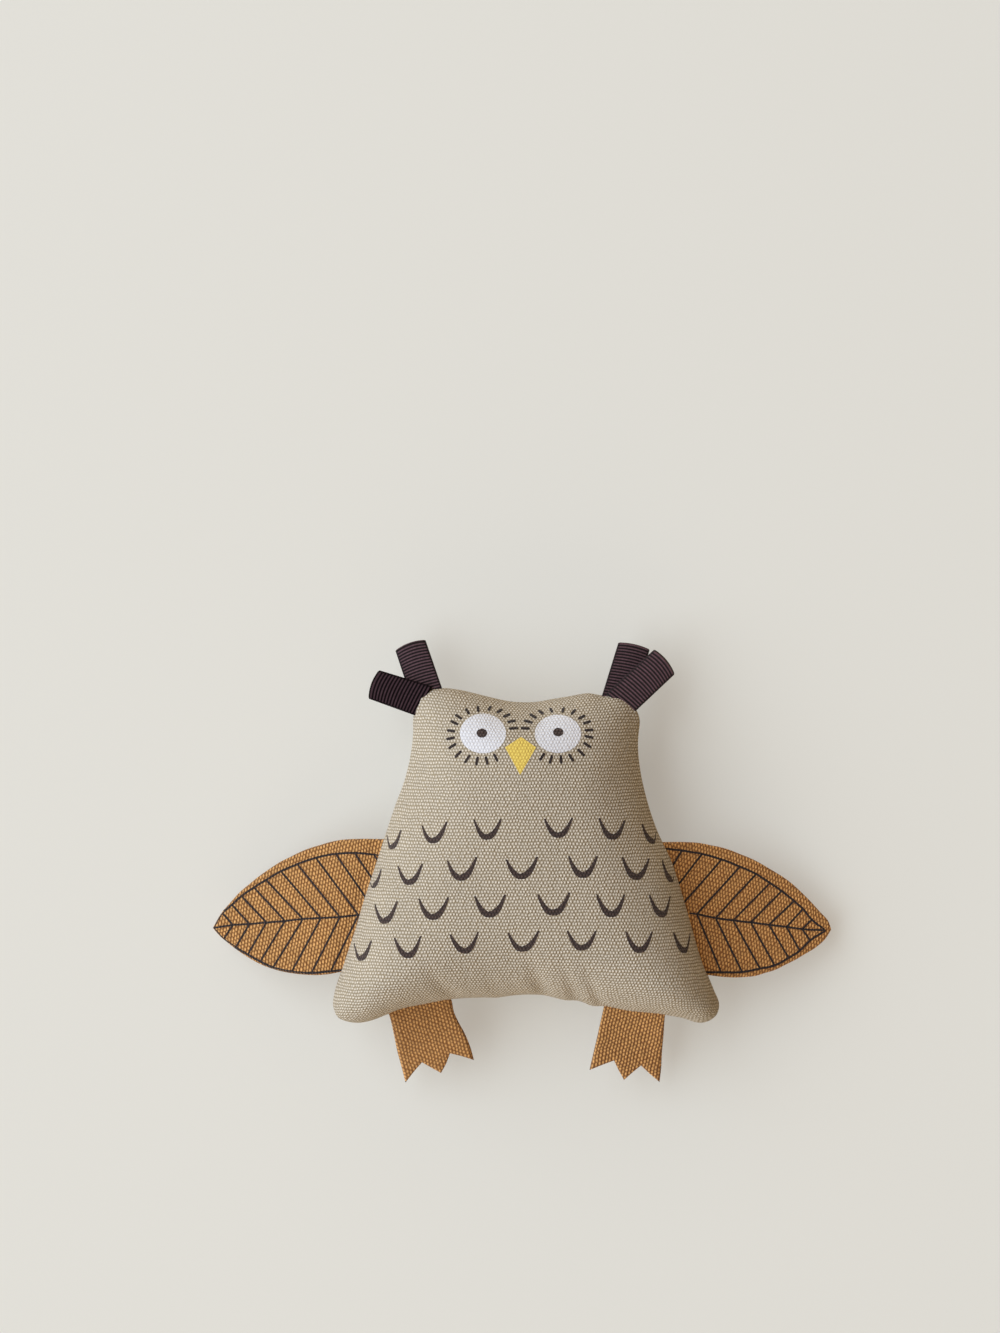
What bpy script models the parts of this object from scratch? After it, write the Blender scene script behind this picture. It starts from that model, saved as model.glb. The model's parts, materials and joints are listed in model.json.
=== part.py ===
"""Small stuffed canvas owl, lying on its back.

Frame: +X to the viewer's right, +Y towards the head, +Z up out of the belly.
The origin is on the table, under the middle of the body, where the back rests.
Left and right are the viewer's. Everything is in metres.
"""
import math

import bmesh
import bpy
import numpy as np
from mathutils import Matrix, Vector

MM = 0.001

# Body cushion
BODY_WIDTH = 121.0 * MM
BODY_LENGTH = 104.5 * MM
SEAM_HEIGHT = 19.5 * MM
FRONT_BULGE = 24.0 * MM
REST_FLAT_DEPTH = 0.5 * MM
SHOULDER_RISE = 12.5 * MM
SHOULDER_SHARE = 0.93
CROWN_SHARE = 0.62
CROWN_HEIGHT_SHARE = 0.82
FRONT_HEAD_TAPER_SHARE = 0.30
BACK_HEAD_TAPER_SHARE = 0.03
BODY_CENTRE_SHARE = -0.08

# The outline's points, as shares of half the width and half the length, run round from the
# bottom left corner. The grid in the crown has CROWN_COLUMNS by CROWN_ROWS faces.
CROWN_COLUMNS = 8
CROWN_ROWS = 6
OUTLINE_SHARES = [
    (-0.96, -0.97), (-0.85, -1.00), (-0.66, -0.93), (-0.40, -0.86), (0.00, -0.83),
    (0.33, -0.88), (0.56, -0.93), (0.89, -1.00), (0.98, -0.96),
    (1.00, -0.87), (0.915, -0.62), (0.81, -0.23), (0.70, 0.09), (0.60, 0.50),
    (0.57, 0.88), (0.49, 0.965), (0.33, 0.97), (0.15, 0.94), (-0.02, 0.925),
    (-0.18, 0.95), (-0.36, 1.00), (-0.50, 0.99), (-0.56, 0.90),
    (-0.595, 0.59), (-0.69, 0.24), (-0.80, -0.14), (-0.91, -0.54), (-0.99, -0.87),
]

# Cloth, filling and thread
CANVAS = 0.8 * MM
SEAM_GAP = 0.3 * MM
SEAM_STRIP = 2.0 * MM
FILL_GAP = 0.3 * MM
SEAM_THREAD_RADIUS = 0.25 * MM
THREAD_CLEARANCE = 0.3 * MM
CLOSING_THREAD_RADIUS = 0.2 * MM
CLOSING_STITCHES = 12
CLOSING_RISE = 0.8 * MM
CLOSING_SPAN_SHARES = (0.09, 0.36)

# Sewn and turned limbs: two layers of canvas round a shallow hollow
LAYER_GAP = 0.3 * MM
LIMB_STANDOFF = 1.25 * MM
LIMB_ROOT_REACH = 0.5 * MM

WING_LENGTH = 43.0 * MM
WING_SWELL = 1.3 * MM
WING_DROOP = math.radians(18)
WING_SPAN_SHARES = (-0.69, 0.10)
WING_STATIONS = 10
WING_STRIPS = 6
WING_THREAD_RADIUS = 0.15 * MM
WING_THREAD_INSET = 2.2 * MM
WING_THREAD_SPAN_SHARES = (0.06, 0.9)
WING_THREAD_STATIONS = 8
# Each edge's points are (share of the wing's length, share of half its root).
WING_UPPER_SHARES = [(0, 1), (0.23, 0.86), (0.456, 0.61), (0.67, 0.25), (0.85, -0.21),
                     (0.955, -0.61), (1, -0.93)]
WING_LOWER_SHARES = [(0, -1), (0.17, -1.15), (0.364, -1.24), (0.57, -1.25), (0.77, -1.16),
                     (0.915, -1.05), (1, -0.97)]

FOOT_LENGTH = 22.0 * MM
FOOT_SWELL = 0.5 * MM
FOOT_DROOP = math.radians(20)
FOOT_SPAN_SHARES = (0.385, 0.70)
FOOT_ROWS = 5
# The claws' tips and notches, from the outer side in: (share of the length, of half the root).
FOOT_END_SHARES = [(0.97, -1.07), (0.76, -0.42), (1, 0.06), (0.76, 0.49), (0.94, 1.18)]
FOOT_ROOT_SHARES = [-1, -0.5, 0, 0.5, 1]
FOOT_STRIPS_PER_FLANK = 2

# Folded ribbon loops in the top corners
RIBBON_WIDTH = 10.0 * MM
RIBBON_THICKNESS = 0.5 * MM
RIBBON_LENGTH = 15.0 * MM
RIBBON_ROOT_GAP = 0.3 * MM
RIBBON_FOLD_RADIUS = 0.75 * MM
RIBBON_CUP = 0.6 * MM
RIBBON_STACK = 3.2 * MM
RIBBON_STANDOFF = 1.0 * MM
RIBBON_ROOT_REACH = 0.3 * MM
RIBBON_STRIPS = 4
RIBBON_LEG_STEPS = 4
RIBBON_FOLD_STEPS = 4
# name: side of the stack (1 is on top), heading in plan, droop, and where its root's middle
# lies as shares of half the body's width and length.
RIBBONS = {
    "left_ribbon_inner": (-1, math.radians(107.5), math.radians(22), (-0.506, 0.968)),
    "left_ribbon_outer": (1, math.radians(161), math.radians(14), (-0.550, 0.936)),
    "right_ribbon_inner": (-1, math.radians(74), math.radians(22), (0.491, 0.965)),
    "right_ribbon_outer": (1, math.radians(42.5), math.radians(14), (0.529, 0.957)),
}

# Cutters reach this far past what they cut.
OVERRUN = 5.0 * MM

UP = Vector((0, 0, 1))


def clear_scene():
    """Remove every object that the file opened with."""
    for obj in list(bpy.data.objects):
        bpy.data.objects.remove(obj, do_unlink=True)


def linear(value):
    """One 0 to 255 display channel as the linear value that a shader takes."""
    share = value / 255
    return share / 12.92 if share <= 0.04045 else ((share + 0.055) / 1.055) ** 2.4


def cloth_material(name, display_rgb, roughness):
    """A matt cloth in one colour."""
    material = bpy.data.materials.new(name)
    material.use_nodes = True
    shader = material.node_tree.nodes["Principled BSDF"]
    shader.inputs["Base Color"].default_value = (*[linear(v) for v in display_rgb], 1)
    shader.inputs["Roughness"].default_value = roughness
    shader.inputs["Metallic"].default_value = 0
    return material


def add_object(name, data, collection, material=None):
    """Link a mesh or curve as a named object, with its material."""
    obj = bpy.data.objects.new(name, data)
    collection.objects.link(obj)
    if material:
        data.materials.append(material)
    return obj


def evaluated_mesh(obj):
    """The object's mesh with its modifiers applied."""
    bpy.context.view_layer.update()
    graph = bpy.context.evaluated_depsgraph_get()
    return bpy.data.meshes.new_from_object(obj.evaluated_get(graph))


def lerp(a, b, t):
    """The value a share t of the way from a to b."""
    return a + (b - a) * t


# Body: one closed cushion form, from which the panels and the filling are taken

def seam_cage_points():
    """Cage points of the seam ring, worked out so that the smoothed seam meets the outline.

    A smoothed ring point lies at a share of its own cage point and of its two neighbours.
    The rings above and below are drawn in to SHOULDER_SHARE, which enters those shares.
    """
    centre = np.array([0, BODY_CENTRE_SHARE])
    target = np.array(OUTLINE_SHARES) - centre
    count = len(target)
    own = (16 + 8 * SHOULDER_SHARE) / 36
    beside = (4 + 2 * SHOULDER_SHARE) / 36
    mix = own * np.eye(count)
    mix += beside * (np.roll(np.eye(count), 1, axis=1) + np.roll(np.eye(count), -1, axis=1))
    half = np.array([BODY_WIDTH / 2, BODY_LENGTH / 2])
    return np.linalg.solve(mix, target) * half, centre * half


def crown_grid(ring):
    """A grid of points stretched across the crown ring, blended from its four sides."""
    columns, rows = CROWN_COLUMNS, CROWN_ROWS
    low = ring[:columns + 1]
    right = ring[columns:columns + rows + 1]
    top = ring[columns + rows:2 * columns + rows + 1][::-1]
    left = np.vstack([ring[2 * columns + rows:], ring[:1]])[::-1]
    u = np.linspace(0, 1, columns + 1)[None, :, None]
    v = np.linspace(0, 1, rows + 1)[:, None, None]
    sides = (1 - v) * low[None] + v * top[None] + (1 - u) * left[:, None] + u * right[:, None]
    corners = (1 - u) * (1 - v) * low[0] + u * (1 - v) * low[-1]
    corners = corners + (1 - u) * v * top[0] + u * v * top[-1]
    rise = (16 * u * (1 - u) * v * (1 - v))[..., 0]
    return sides - corners, rise


def ring_positions():
    """The grid's boundary positions (row, column), in the order of the outline's points."""
    columns, rows = CROWN_COLUMNS, CROWN_ROWS
    low = [(0, c) for c in range(columns)]
    right = [(r, columns) for r in range(rows)]
    top = [(rows, c) for c in range(columns, 0, -1)]
    left = [(r, 0) for r in range(rows, 0, -1)]
    return low + right + top + left


def add_dome(bm, seam_verts, cage, centre, side, bulge, taper):
    """Add one side of the cushion: shoulder ring, crown ring and the grid across the crown."""
    count = len(seam_verts)
    shoulder = [
        bm.verts.new((*(centre + p * SHOULDER_SHARE), SEAM_HEIGHT + side * SHOULDER_RISE))
        for p in cage
    ]
    plan, rise = crown_grid(cage * CROWN_SHARE)
    grid = []
    for row in range(CROWN_ROWS + 1):
        line = []
        for column in range(CROWN_COLUMNS + 1):
            x, y = plan[row, column] + centre
            towards_head = (y / BODY_LENGTH + 0.5) ** 2
            share = lerp(CROWN_HEIGHT_SHARE, 1, rise[row, column]) * (1 - taper * towards_head)
            line.append(bm.verts.new((x, y, SEAM_HEIGHT + side * bulge * share)))
        grid.append(line)
    crown = [grid[row][column] for row, column in ring_positions()]
    for ring_a, ring_b in ((seam_verts, shoulder), (shoulder, crown)):
        for i in range(count):
            j = (i + 1) % count
            bm.faces.new((ring_a[i], ring_a[j], ring_b[j], ring_b[i]))
    for row in range(CROWN_ROWS):
        for column in range(CROWN_COLUMNS):
            bm.faces.new((grid[row][column], grid[row][column + 1],
                          grid[row + 1][column + 1], grid[row + 1][column]))


def cushion_form(collection):
    """The closed body form: a coarse cage, smoothed once, with each side at its full bulge."""
    cage, centre = seam_cage_points()
    back_bulge = SEAM_HEIGHT + REST_FLAT_DEPTH
    bm = bmesh.new()
    seam = [bm.verts.new((*(centre + p), SEAM_HEIGHT)) for p in cage]
    add_dome(bm, seam, cage, centre, 1, FRONT_BULGE, FRONT_HEAD_TAPER_SHARE)
    add_dome(bm, seam, cage, centre, -1, back_bulge, BACK_HEAD_TAPER_SHARE)
    bmesh.ops.recalc_face_normals(bm, faces=bm.faces)
    mesh = bpy.data.meshes.new("cushion_form")
    bm.to_mesh(mesh)
    bm.free()
    form = add_object("cushion_form", mesh, collection)
    smooth = form.modifiers.new("smooth", "SUBSURF")
    smooth.levels = 1
    smooth.render_levels = 1
    smoothed = evaluated_mesh(form)
    bpy.data.objects.remove(form)
    heights = np.array([v.co.z for v in smoothed.vertices]) - SEAM_HEIGHT
    stretch_front = FRONT_BULGE / heights.max()
    stretch_back = back_bulge / -heights.min()
    for vertex, height in zip(smoothed.vertices, heights):
        stretch = stretch_front if height > 0 else stretch_back
        vertex.co.z = SEAM_HEIGHT + float(height) * stretch
    return smoothed


def boundary_loop(bm):
    """The open edge of a surface as its vertices in order."""
    rim = [e for e in bm.edges if e.is_boundary]
    start = rim[0].verts[0]
    loop, edge, vertex = [start], rim[0], rim[0].verts[1]
    while vertex is not start:
        loop.append(vertex)
        edge = next(e for e in vertex.link_edges if e.is_boundary and e is not edge)
        vertex = edge.other_vert(vertex)
    return loop


def seam_outline(form):
    """The plan points of the seam, in order round the body."""
    bm = bmesh.new()
    bm.from_mesh(form)
    bmesh.ops.bisect_plane(
        bm, geom=bm.verts[:] + bm.edges[:] + bm.faces[:],
        plane_co=(0, 0, SEAM_HEIGHT + SEAM_GAP / 2), plane_no=UP, clear_inner=True)
    outline = [Vector((v.co.x, v.co.y)) for v in boundary_loop(bm)]
    bm.free()
    return outline


def block_cutter(name, low, high, collection):
    """A block wider than the body, between two heights."""
    bm = bmesh.new()
    bmesh.ops.create_cube(bm, size=1)
    size = Vector((BODY_WIDTH + OVERRUN, BODY_LENGTH + OVERRUN, high - low))
    bmesh.ops.scale(bm, vec=size, verts=bm.verts)
    bmesh.ops.translate(bm, vec=(0, 0, (low + high) / 2), verts=bm.verts)
    mesh = bpy.data.meshes.new(name)
    bm.to_mesh(mesh)
    bm.free()
    cutter = add_object(name, mesh, collection)
    cutter.hide_render = True
    cutter.display_type = "WIRE"
    return cutter


def cut(obj, cutter):
    """Take the cutter's volume off the object."""
    boolean = obj.modifiers.new(cutter.name, "BOOLEAN")
    boolean.operation = "DIFFERENCE"
    boolean.solver = "EXACT"
    boolean.object = cutter


def body_panel(name, form, side, collection, cutters, material):
    """One canvas panel: the form's upper or lower side, thickened inwards.

    It is taken a strip past the seam and then cut flat there, half the seam gap off the plane.
    """
    bm = bmesh.new()
    bm.from_mesh(form)
    bmesh.ops.bisect_plane(
        bm, geom=bm.verts[:] + bm.edges[:] + bm.faces[:],
        plane_co=(0, 0, SEAM_HEIGHT - side * SEAM_STRIP), plane_no=(0, 0, side), clear_inner=True)
    mesh = bpy.data.meshes.new(name)
    bm.to_mesh(mesh)
    bm.free()
    mesh.shade_smooth()
    panel = add_object(name, mesh, collection, material)
    wall = panel.modifiers.new("canvas", "SOLIDIFY")
    wall.thickness = CANVAS
    wall.offset = -1
    rim = SEAM_HEIGHT + side * SEAM_GAP / 2
    past = SEAM_HEIGHT - side * (SEAM_STRIP + OVERRUN)
    cut(panel, block_cutter(f"{name}_seam_cutter", min(rim, past), max(rim, past), cutters))
    return panel


def stuffing(form, collection, material):
    """The filling: the form drawn in by the canvas, and by more where the seam thread runs."""
    thread_room = SEAM_THREAD_RADIUS * 2 + THREAD_CLEARANCE
    bm = bmesh.new()
    bm.from_mesh(form)
    bm.normal_update()
    for vertex in bm.verts:
        inset = CANVAS + FILL_GAP
        if abs(vertex.co.z - SEAM_HEIGHT) < SEAM_GAP:
            inset += thread_room
        vertex.co -= vertex.normal * inset
    mesh = bpy.data.meshes.new("stuffing")
    bm.to_mesh(mesh)
    bm.free()
    mesh.shade_smooth()
    return add_object("stuffing", mesh, collection, material)


def thread_object(name, points, radius, closed, collection, material):
    """A thread as a round tube along its points."""
    curve = bpy.data.curves.new(name, "CURVE")
    curve.dimensions = "3D"
    curve.bevel_depth = radius
    curve.bevel_resolution = 1
    curve.use_fill_caps = not closed
    spline = curve.splines.new("POLY")
    spline.points.add(len(points) - 1)
    for slot, point in zip(spline.points, points):
        slot.co = (*point, 1)
    spline.use_cyclic_u = closed
    return add_object(name, curve, collection, material)


def outward_normals(outline):
    """The outward direction in plan at each of the outline's points."""
    count = len(outline)
    area = sum(outline[i].x * outline[(i + 1) % count].y
               - outline[(i + 1) % count].x * outline[i].y for i in range(count))
    turn = 1 if area > 0 else -1
    normals = []
    for i in range(count):
        along = (outline[(i + 1) % count] - outline[i - 1]).normalized()
        normals.append(Vector((along.y, -along.x)) * turn)
    return normals


def seam_thread(outline, collection, material):
    """The thread that joins the panels, just inside their seam."""
    inset = CANVAS + THREAD_CLEARANCE + SEAM_THREAD_RADIUS
    points = [(*(p - n * inset), SEAM_HEIGHT) for p, n in zip(outline, outward_normals(outline))]
    thread_object("seam_thread", points, SEAM_THREAD_RADIUS, True, collection, material)


def crossing(outline, axis, value, sign):
    """The outline's outermost point, on the given side, where one coordinate has a value."""
    other = 1 - axis
    found = []
    for a, b in zip(outline, outline[1:] + outline[:1]):
        if (a[axis] - value) * (b[axis] - value) <= 0 and a[axis] != b[axis]:
            found.append(a.lerp(b, (value - a[axis]) / (b[axis] - a[axis])))
    return max(found, key=lambda p: p[other] * sign)


def closing_stitch(outline, collection, material):
    """The stitch over the turning gap, to and fro across the seam of the bottom edge."""
    stand = CLOSING_THREAD_RADIUS + THREAD_CLEARANCE
    points = []
    for i in range(CLOSING_STITCHES + 1):
        share = lerp(*CLOSING_SPAN_SHARES, i / CLOSING_STITCHES)
        foot = crossing(outline, 0, share * BODY_WIDTH / 2, -1)
        rise = CLOSING_RISE if i % 2 else -CLOSING_RISE
        points.append((foot.x, foot.y - stand, SEAM_HEIGHT + rise))
    thread_object("closing_stitch", points, CLOSING_THREAD_RADIUS, False, collection, material)


# Limbs and ribbons: each hangs on an empty that stands on its hinge line beside the seam

def hinge_seat(outline, first, second, standoff):
    """Where a limb hinges: the middle of its line in plan, and its outward direction.

    The line is parallel to the chord from first to second, and lies the standoff outside the
    body's furthest point between them.
    """
    chord = second - first
    along = chord.normalized()
    outward = Vector((along.y, -along.x))
    if outward.dot((first + second) / 2) < 0:
        outward.negate()
    reach = 0
    for point in outline + [first, second]:
        if 0 <= (point - first).dot(along) <= chord.length:
            reach = max(reach, (point - first).dot(outward))
    return (first + second) / 2 + outward * (reach + standoff), outward


def hinge_empty(name, middle, outward, height, droop, collection):
    """An empty on the hinge: local X runs out along the limb, Z is the limb's upper side."""
    x = Vector((outward.x, outward.y, 0))
    y = UP.cross(x)
    basis = Matrix((x, y, UP)).transposed().to_4x4()
    empty = bpy.data.objects.new(name, None)
    collection.objects.link(empty)
    place = Matrix.Translation((middle.x, middle.y, height))
    empty.matrix_world = place @ basis @ Matrix.Rotation(droop, 4, "Y")
    return empty


def grid_mesh(name, points):
    """A sheet of quads over an array of points (rows, columns, 3)."""
    rows, columns = points.shape[:2]
    corners = np.arange(rows * columns).reshape(rows, columns)
    faces = np.stack([corners[:-1, :-1], corners[1:, :-1], corners[1:, 1:], corners[:-1, 1:]], -1)
    mesh = bpy.data.meshes.new(name)
    mesh.from_pydata(points.reshape(-1, 3).tolist(), [], faces.reshape(-1, 4).tolist())
    return mesh


def sewn_layers(name, plan, swell, empty, collection, material):
    """A limb's front and back layer over its plan points (stations, strips, 2).

    The layers lie the layer gap apart at the edges, and swell apart between them.
    """
    stations, strips = plan.shape[:2]
    u = np.linspace(0, 1, stations)[:, None]
    v = np.linspace(0, 1, strips)[None, :]
    hollow = swell * np.sqrt(np.sin(np.pi * v) * np.sin(np.pi * u).clip(0))
    for label, side in (("front", 1), ("back", -1)):
        height = side * (LAYER_GAP / 2 + hollow)
        mesh = grid_mesh(f"{name}_{label}", np.dstack([plan, height[..., None]]))
        bm = bmesh.new()
        bm.from_mesh(mesh)
        bm.normal_update()
        if sum(face.normal.z for face in bm.faces) * side < 0:
            bmesh.ops.reverse_faces(bm, faces=bm.faces)
        bm.to_mesh(mesh)
        bm.free()
        mesh.shade_smooth()
        layer = add_object(f"{name}_{label}", mesh, collection, material)
        layer.parent = empty
        wall = layer.modifiers.new("canvas", "SOLIDIFY")
        wall.thickness = CANVAS
        wall.offset = 1


def edge_points(shares, stations, length, half_root):
    """A wing edge's points, spread evenly along the chosen ones and rounded between them."""
    table = np.array(shares, float)
    knots = np.linspace(0, 1, len(table))
    steps = np.linspace(0, 1, stations)
    slope = np.gradient(table, knots, axis=0)
    index = np.minimum((steps * (len(table) - 1)).astype(int), len(table) - 2)
    gap = knots[1]
    t = ((steps - knots[index]) / gap)[:, None]
    start, end = table[index], table[index + 1]
    lead, trail = slope[index] * gap, slope[index + 1] * gap
    curve = (start * (1 + 2 * t) * (1 - t) ** 2 + lead * t * (1 - t) ** 2
             + end * t ** 2 * (3 - 2 * t) + trail * t ** 2 * (t - 1))
    return curve * np.array([length, half_root])


def wing_plan(half_root, up, stations):
    """The wing's upper and lower edge in its hinge's frame; up is 1 where local Y faces the head."""
    upper = edge_points(WING_UPPER_SHARES, stations, WING_LENGTH, half_root)
    lower = edge_points(WING_LOWER_SHARES, stations, WING_LENGTH, half_root)
    return upper * np.array([1, up]), lower * np.array([1, up])


def wing(label, side, outline, collection, cloth, thread):
    """A leaf-shaped wing in the body's side seam, drooping towards the table."""
    low, high = [share * BODY_LENGTH / 2 for share in WING_SPAN_SHARES]
    first = crossing(outline, 1, low, side)
    second = crossing(outline, 1, high, side)
    middle, outward = hinge_seat(outline, first, second, LIMB_STANDOFF)
    empty = hinge_empty(f"{label}_wing_hinge", middle, outward, SEAM_HEIGHT, WING_DROOP, collection)
    half_root = (second - first).length / 2
    upper, lower = wing_plan(half_root, side, WING_STATIONS + 1)
    v = np.linspace(0, 1, WING_STRIPS + 1)[None, :, None]
    plan = lerp(lower[:, None], upper[:, None], v)
    plan[0, :, 0] = -LIMB_ROOT_REACH
    sewn_layers(f"{label}_wing", plan, WING_SWELL, empty, collection, cloth)

    upper, lower = wing_plan(half_root, side, 2 * WING_THREAD_STATIONS)
    first_station, last_station = [
        round(share * len(upper)) for share in WING_THREAD_SPAN_SHARES]
    inward = (lower - upper) / np.linalg.norm(lower - upper, axis=1)[:, None] * WING_THREAD_INSET
    out_run = (upper + inward)[first_station:last_station]
    back_run = (lower - inward)[first_station:last_station][::-1]
    points = [(x, y, 0) for x, y in np.vstack([out_run, back_run])]
    tube = thread_object(
        f"{label}_wing_thread", points, WING_THREAD_RADIUS, False, collection, thread)
    tube.parent = empty


def foot(label, side, outline, collection, cloth):
    """A clawed foot in the body's bottom seam, drooping towards the table."""
    near, far = [side * share * BODY_WIDTH / 2 for share in FOOT_SPAN_SHARES]
    first = crossing(outline, 0, far, -1)
    second = crossing(outline, 0, near, -1)
    middle, outward = hinge_seat(outline, first, second, LIMB_STANDOFF)
    empty = hinge_empty(f"{label}_foot_hinge", middle, outward, SEAM_HEIGHT, FOOT_DROOP, collection)
    half_root = (second - first).length / 2
    flanks = len(FOOT_END_SHARES) - 1
    strips = np.linspace(0, flanks, flanks * FOOT_STRIPS_PER_FLANK + 1)
    marks = np.arange(flanks + 1)
    end_x, end_y = np.array(FOOT_END_SHARES).T
    end = np.stack([np.interp(strips, marks, end_x) * FOOT_LENGTH,
                    np.interp(strips, marks, end_y) * half_root], -1)
    root = np.stack([np.full(len(strips), -LIMB_ROOT_REACH),
                     np.interp(strips, marks, FOOT_ROOT_SHARES) * half_root], -1)
    plan = lerp(root[None], end[None], np.linspace(0, 1, FOOT_ROWS + 1)[:, None, None])
    plan = plan * np.array([1, side])
    sewn_layers(f"{label}_foot", plan, FOOT_SWELL, empty, collection, cloth)


def ribbon_profile():
    """The folded ribbon's centre line from the side: out along the under leg, round the fold
    and back along the top leg."""
    root_height = (RIBBON_THICKNESS + RIBBON_ROOT_GAP) / 2
    fold_centre = RIBBON_LENGTH - RIBBON_FOLD_RADIUS - RIBBON_THICKNESS / 2
    leg = np.linspace(0, 1, RIBBON_LEG_STEPS, endpoint=False)
    run = np.stack([lerp(-RIBBON_ROOT_REACH, fold_centre, leg),
                    lerp(root_height, RIBBON_FOLD_RADIUS, leg)], -1)
    angle = np.linspace(math.pi / 2, -math.pi / 2, RIBBON_FOLD_STEPS + 1)
    fold = np.stack([fold_centre + RIBBON_FOLD_RADIUS * np.cos(angle),
                     RIBBON_FOLD_RADIUS * np.sin(angle)], -1)
    under = run[::-1] * np.array([1, -1])
    return np.vstack([run, fold, under])


def ribbon(name, outline, collection, material):
    """A folded ribbon loop in a top corner, cupped a little across its width."""
    level, heading, droop, root_shares = RIBBONS[name]
    outward = Vector((math.cos(heading), math.sin(heading)))
    along = Vector((outward.y, -outward.x))
    root = Vector((root_shares[0] * BODY_WIDTH / 2, root_shares[1] * BODY_LENGTH / 2))
    root -= outward * RIBBON_WIDTH
    first, second = [root + along * RIBBON_WIDTH / 2 * end for end in (-1, 1)]
    middle, outward = hinge_seat(outline, first, second, RIBBON_STANDOFF)
    height = SEAM_HEIGHT + level * RIBBON_STACK / 2
    empty = hinge_empty(f"{name}_hinge", middle, outward, height, droop, collection)
    profile = ribbon_profile()
    across = np.linspace(-1, 1, RIBBON_STRIPS + 1)
    shape = (len(profile), len(across))
    x = np.broadcast_to(profile[:, None, 0], shape)
    y = np.broadcast_to(across[None] * RIBBON_WIDTH / 2, shape)
    z = profile[:, None, 1] - RIBBON_CUP * across[None] ** 2
    mesh = grid_mesh(name, np.dstack([x, y, z]))
    mesh.shade_smooth()
    loop = add_object(name, mesh, collection, material)
    loop.parent = empty
    wall = loop.modifiers.new("ribbon", "SOLIDIFY")
    wall.thickness = RIBBON_THICKNESS
    wall.offset = 0


def build():
    """Make the whole owl."""
    clear_scene()
    parts = bpy.data.collections.new("plush_owl")
    cutters = bpy.data.collections.new("cutters")
    for collection in (parts, cutters):
        bpy.context.scene.collection.children.link(collection)

    natural = cloth_material("natural_canvas", (185, 174, 158), 0.9)
    ochre = cloth_material("ochre_canvas", (155, 115, 75), 0.9)
    grosgrain = cloth_material("plum_grosgrain", (52, 40, 44), 0.6)
    thread = cloth_material("cotton_thread", (205, 196, 178), 0.8)
    filling = cloth_material("fibre_filling", (236, 234, 228), 1.0)

    form = cushion_form(cutters)
    outline = seam_outline(form)
    body_panel("body_front_panel", form, 1, parts, cutters, natural)
    back = body_panel("body_back_panel", form, -1, parts, cutters, natural)
    cut(back, block_cutter("table_cutter", -REST_FLAT_DEPTH - OVERRUN, 0, cutters))
    stuffing(form, parts, filling)
    seam_thread(outline, parts, thread)
    closing_stitch(outline, parts, thread)

    for label, side in (("left", -1), ("right", 1)):
        wing(label, side, outline, parts, ochre, thread)
        foot(label, side, outline, parts, ochre)
    for name in RIBBONS:
        ribbon(name, outline, parts, grosgrain)
    bpy.data.meshes.remove(form)


build()
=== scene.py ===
"""Looks of the small stuffed canvas owl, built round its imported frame.

The toy lies on its back and the camera looks straight down, as in the photograph.
Places that are read from the photograph are pixels of its 1000 x 1333 frame, and are named so.
Left and right are the viewer's.
"""
import json
import math

import bmesh
import bpy
import numpy as np
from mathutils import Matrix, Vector
from mathutils.bvhtree import BVHTree


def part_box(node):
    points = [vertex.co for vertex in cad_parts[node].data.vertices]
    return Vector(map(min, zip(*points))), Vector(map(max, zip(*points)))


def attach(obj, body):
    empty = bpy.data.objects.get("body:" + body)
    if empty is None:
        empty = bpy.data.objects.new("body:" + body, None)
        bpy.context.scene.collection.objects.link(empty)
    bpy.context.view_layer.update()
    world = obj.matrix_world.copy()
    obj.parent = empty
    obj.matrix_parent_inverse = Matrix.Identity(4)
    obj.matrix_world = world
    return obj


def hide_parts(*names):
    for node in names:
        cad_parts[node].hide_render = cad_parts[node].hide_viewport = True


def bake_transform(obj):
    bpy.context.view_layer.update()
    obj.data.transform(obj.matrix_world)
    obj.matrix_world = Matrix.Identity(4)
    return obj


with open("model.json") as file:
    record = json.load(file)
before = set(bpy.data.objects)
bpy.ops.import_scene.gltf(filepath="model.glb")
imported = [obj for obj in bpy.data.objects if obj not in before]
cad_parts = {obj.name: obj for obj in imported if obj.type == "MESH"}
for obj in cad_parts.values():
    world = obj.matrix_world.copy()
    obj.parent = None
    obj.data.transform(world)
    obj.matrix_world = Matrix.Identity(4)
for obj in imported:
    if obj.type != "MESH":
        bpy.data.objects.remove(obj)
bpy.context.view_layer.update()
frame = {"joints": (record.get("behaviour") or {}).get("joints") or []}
JOINTS = {joint["name"]: joint for joint in frame["joints"]}

MM = 0.001
UP = np.array([0.0, 0.0, 1.0])
SEAM_HEIGHT = (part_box("body_front_panel")[0][2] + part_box("body_back_panel")[1][2]) / 2
BODY_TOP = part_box("body_front_panel")[1][2]

# The photograph's scale holds on the plane of the body's seam
PHOTO_SIZE = (1000, 1333)
PIXEL = MM / 3.2
ORIGIN_PX = np.array([525, 856])
CAMERA_DISTANCE = 1.2
SENSOR_WIDTH = 36.0

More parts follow.
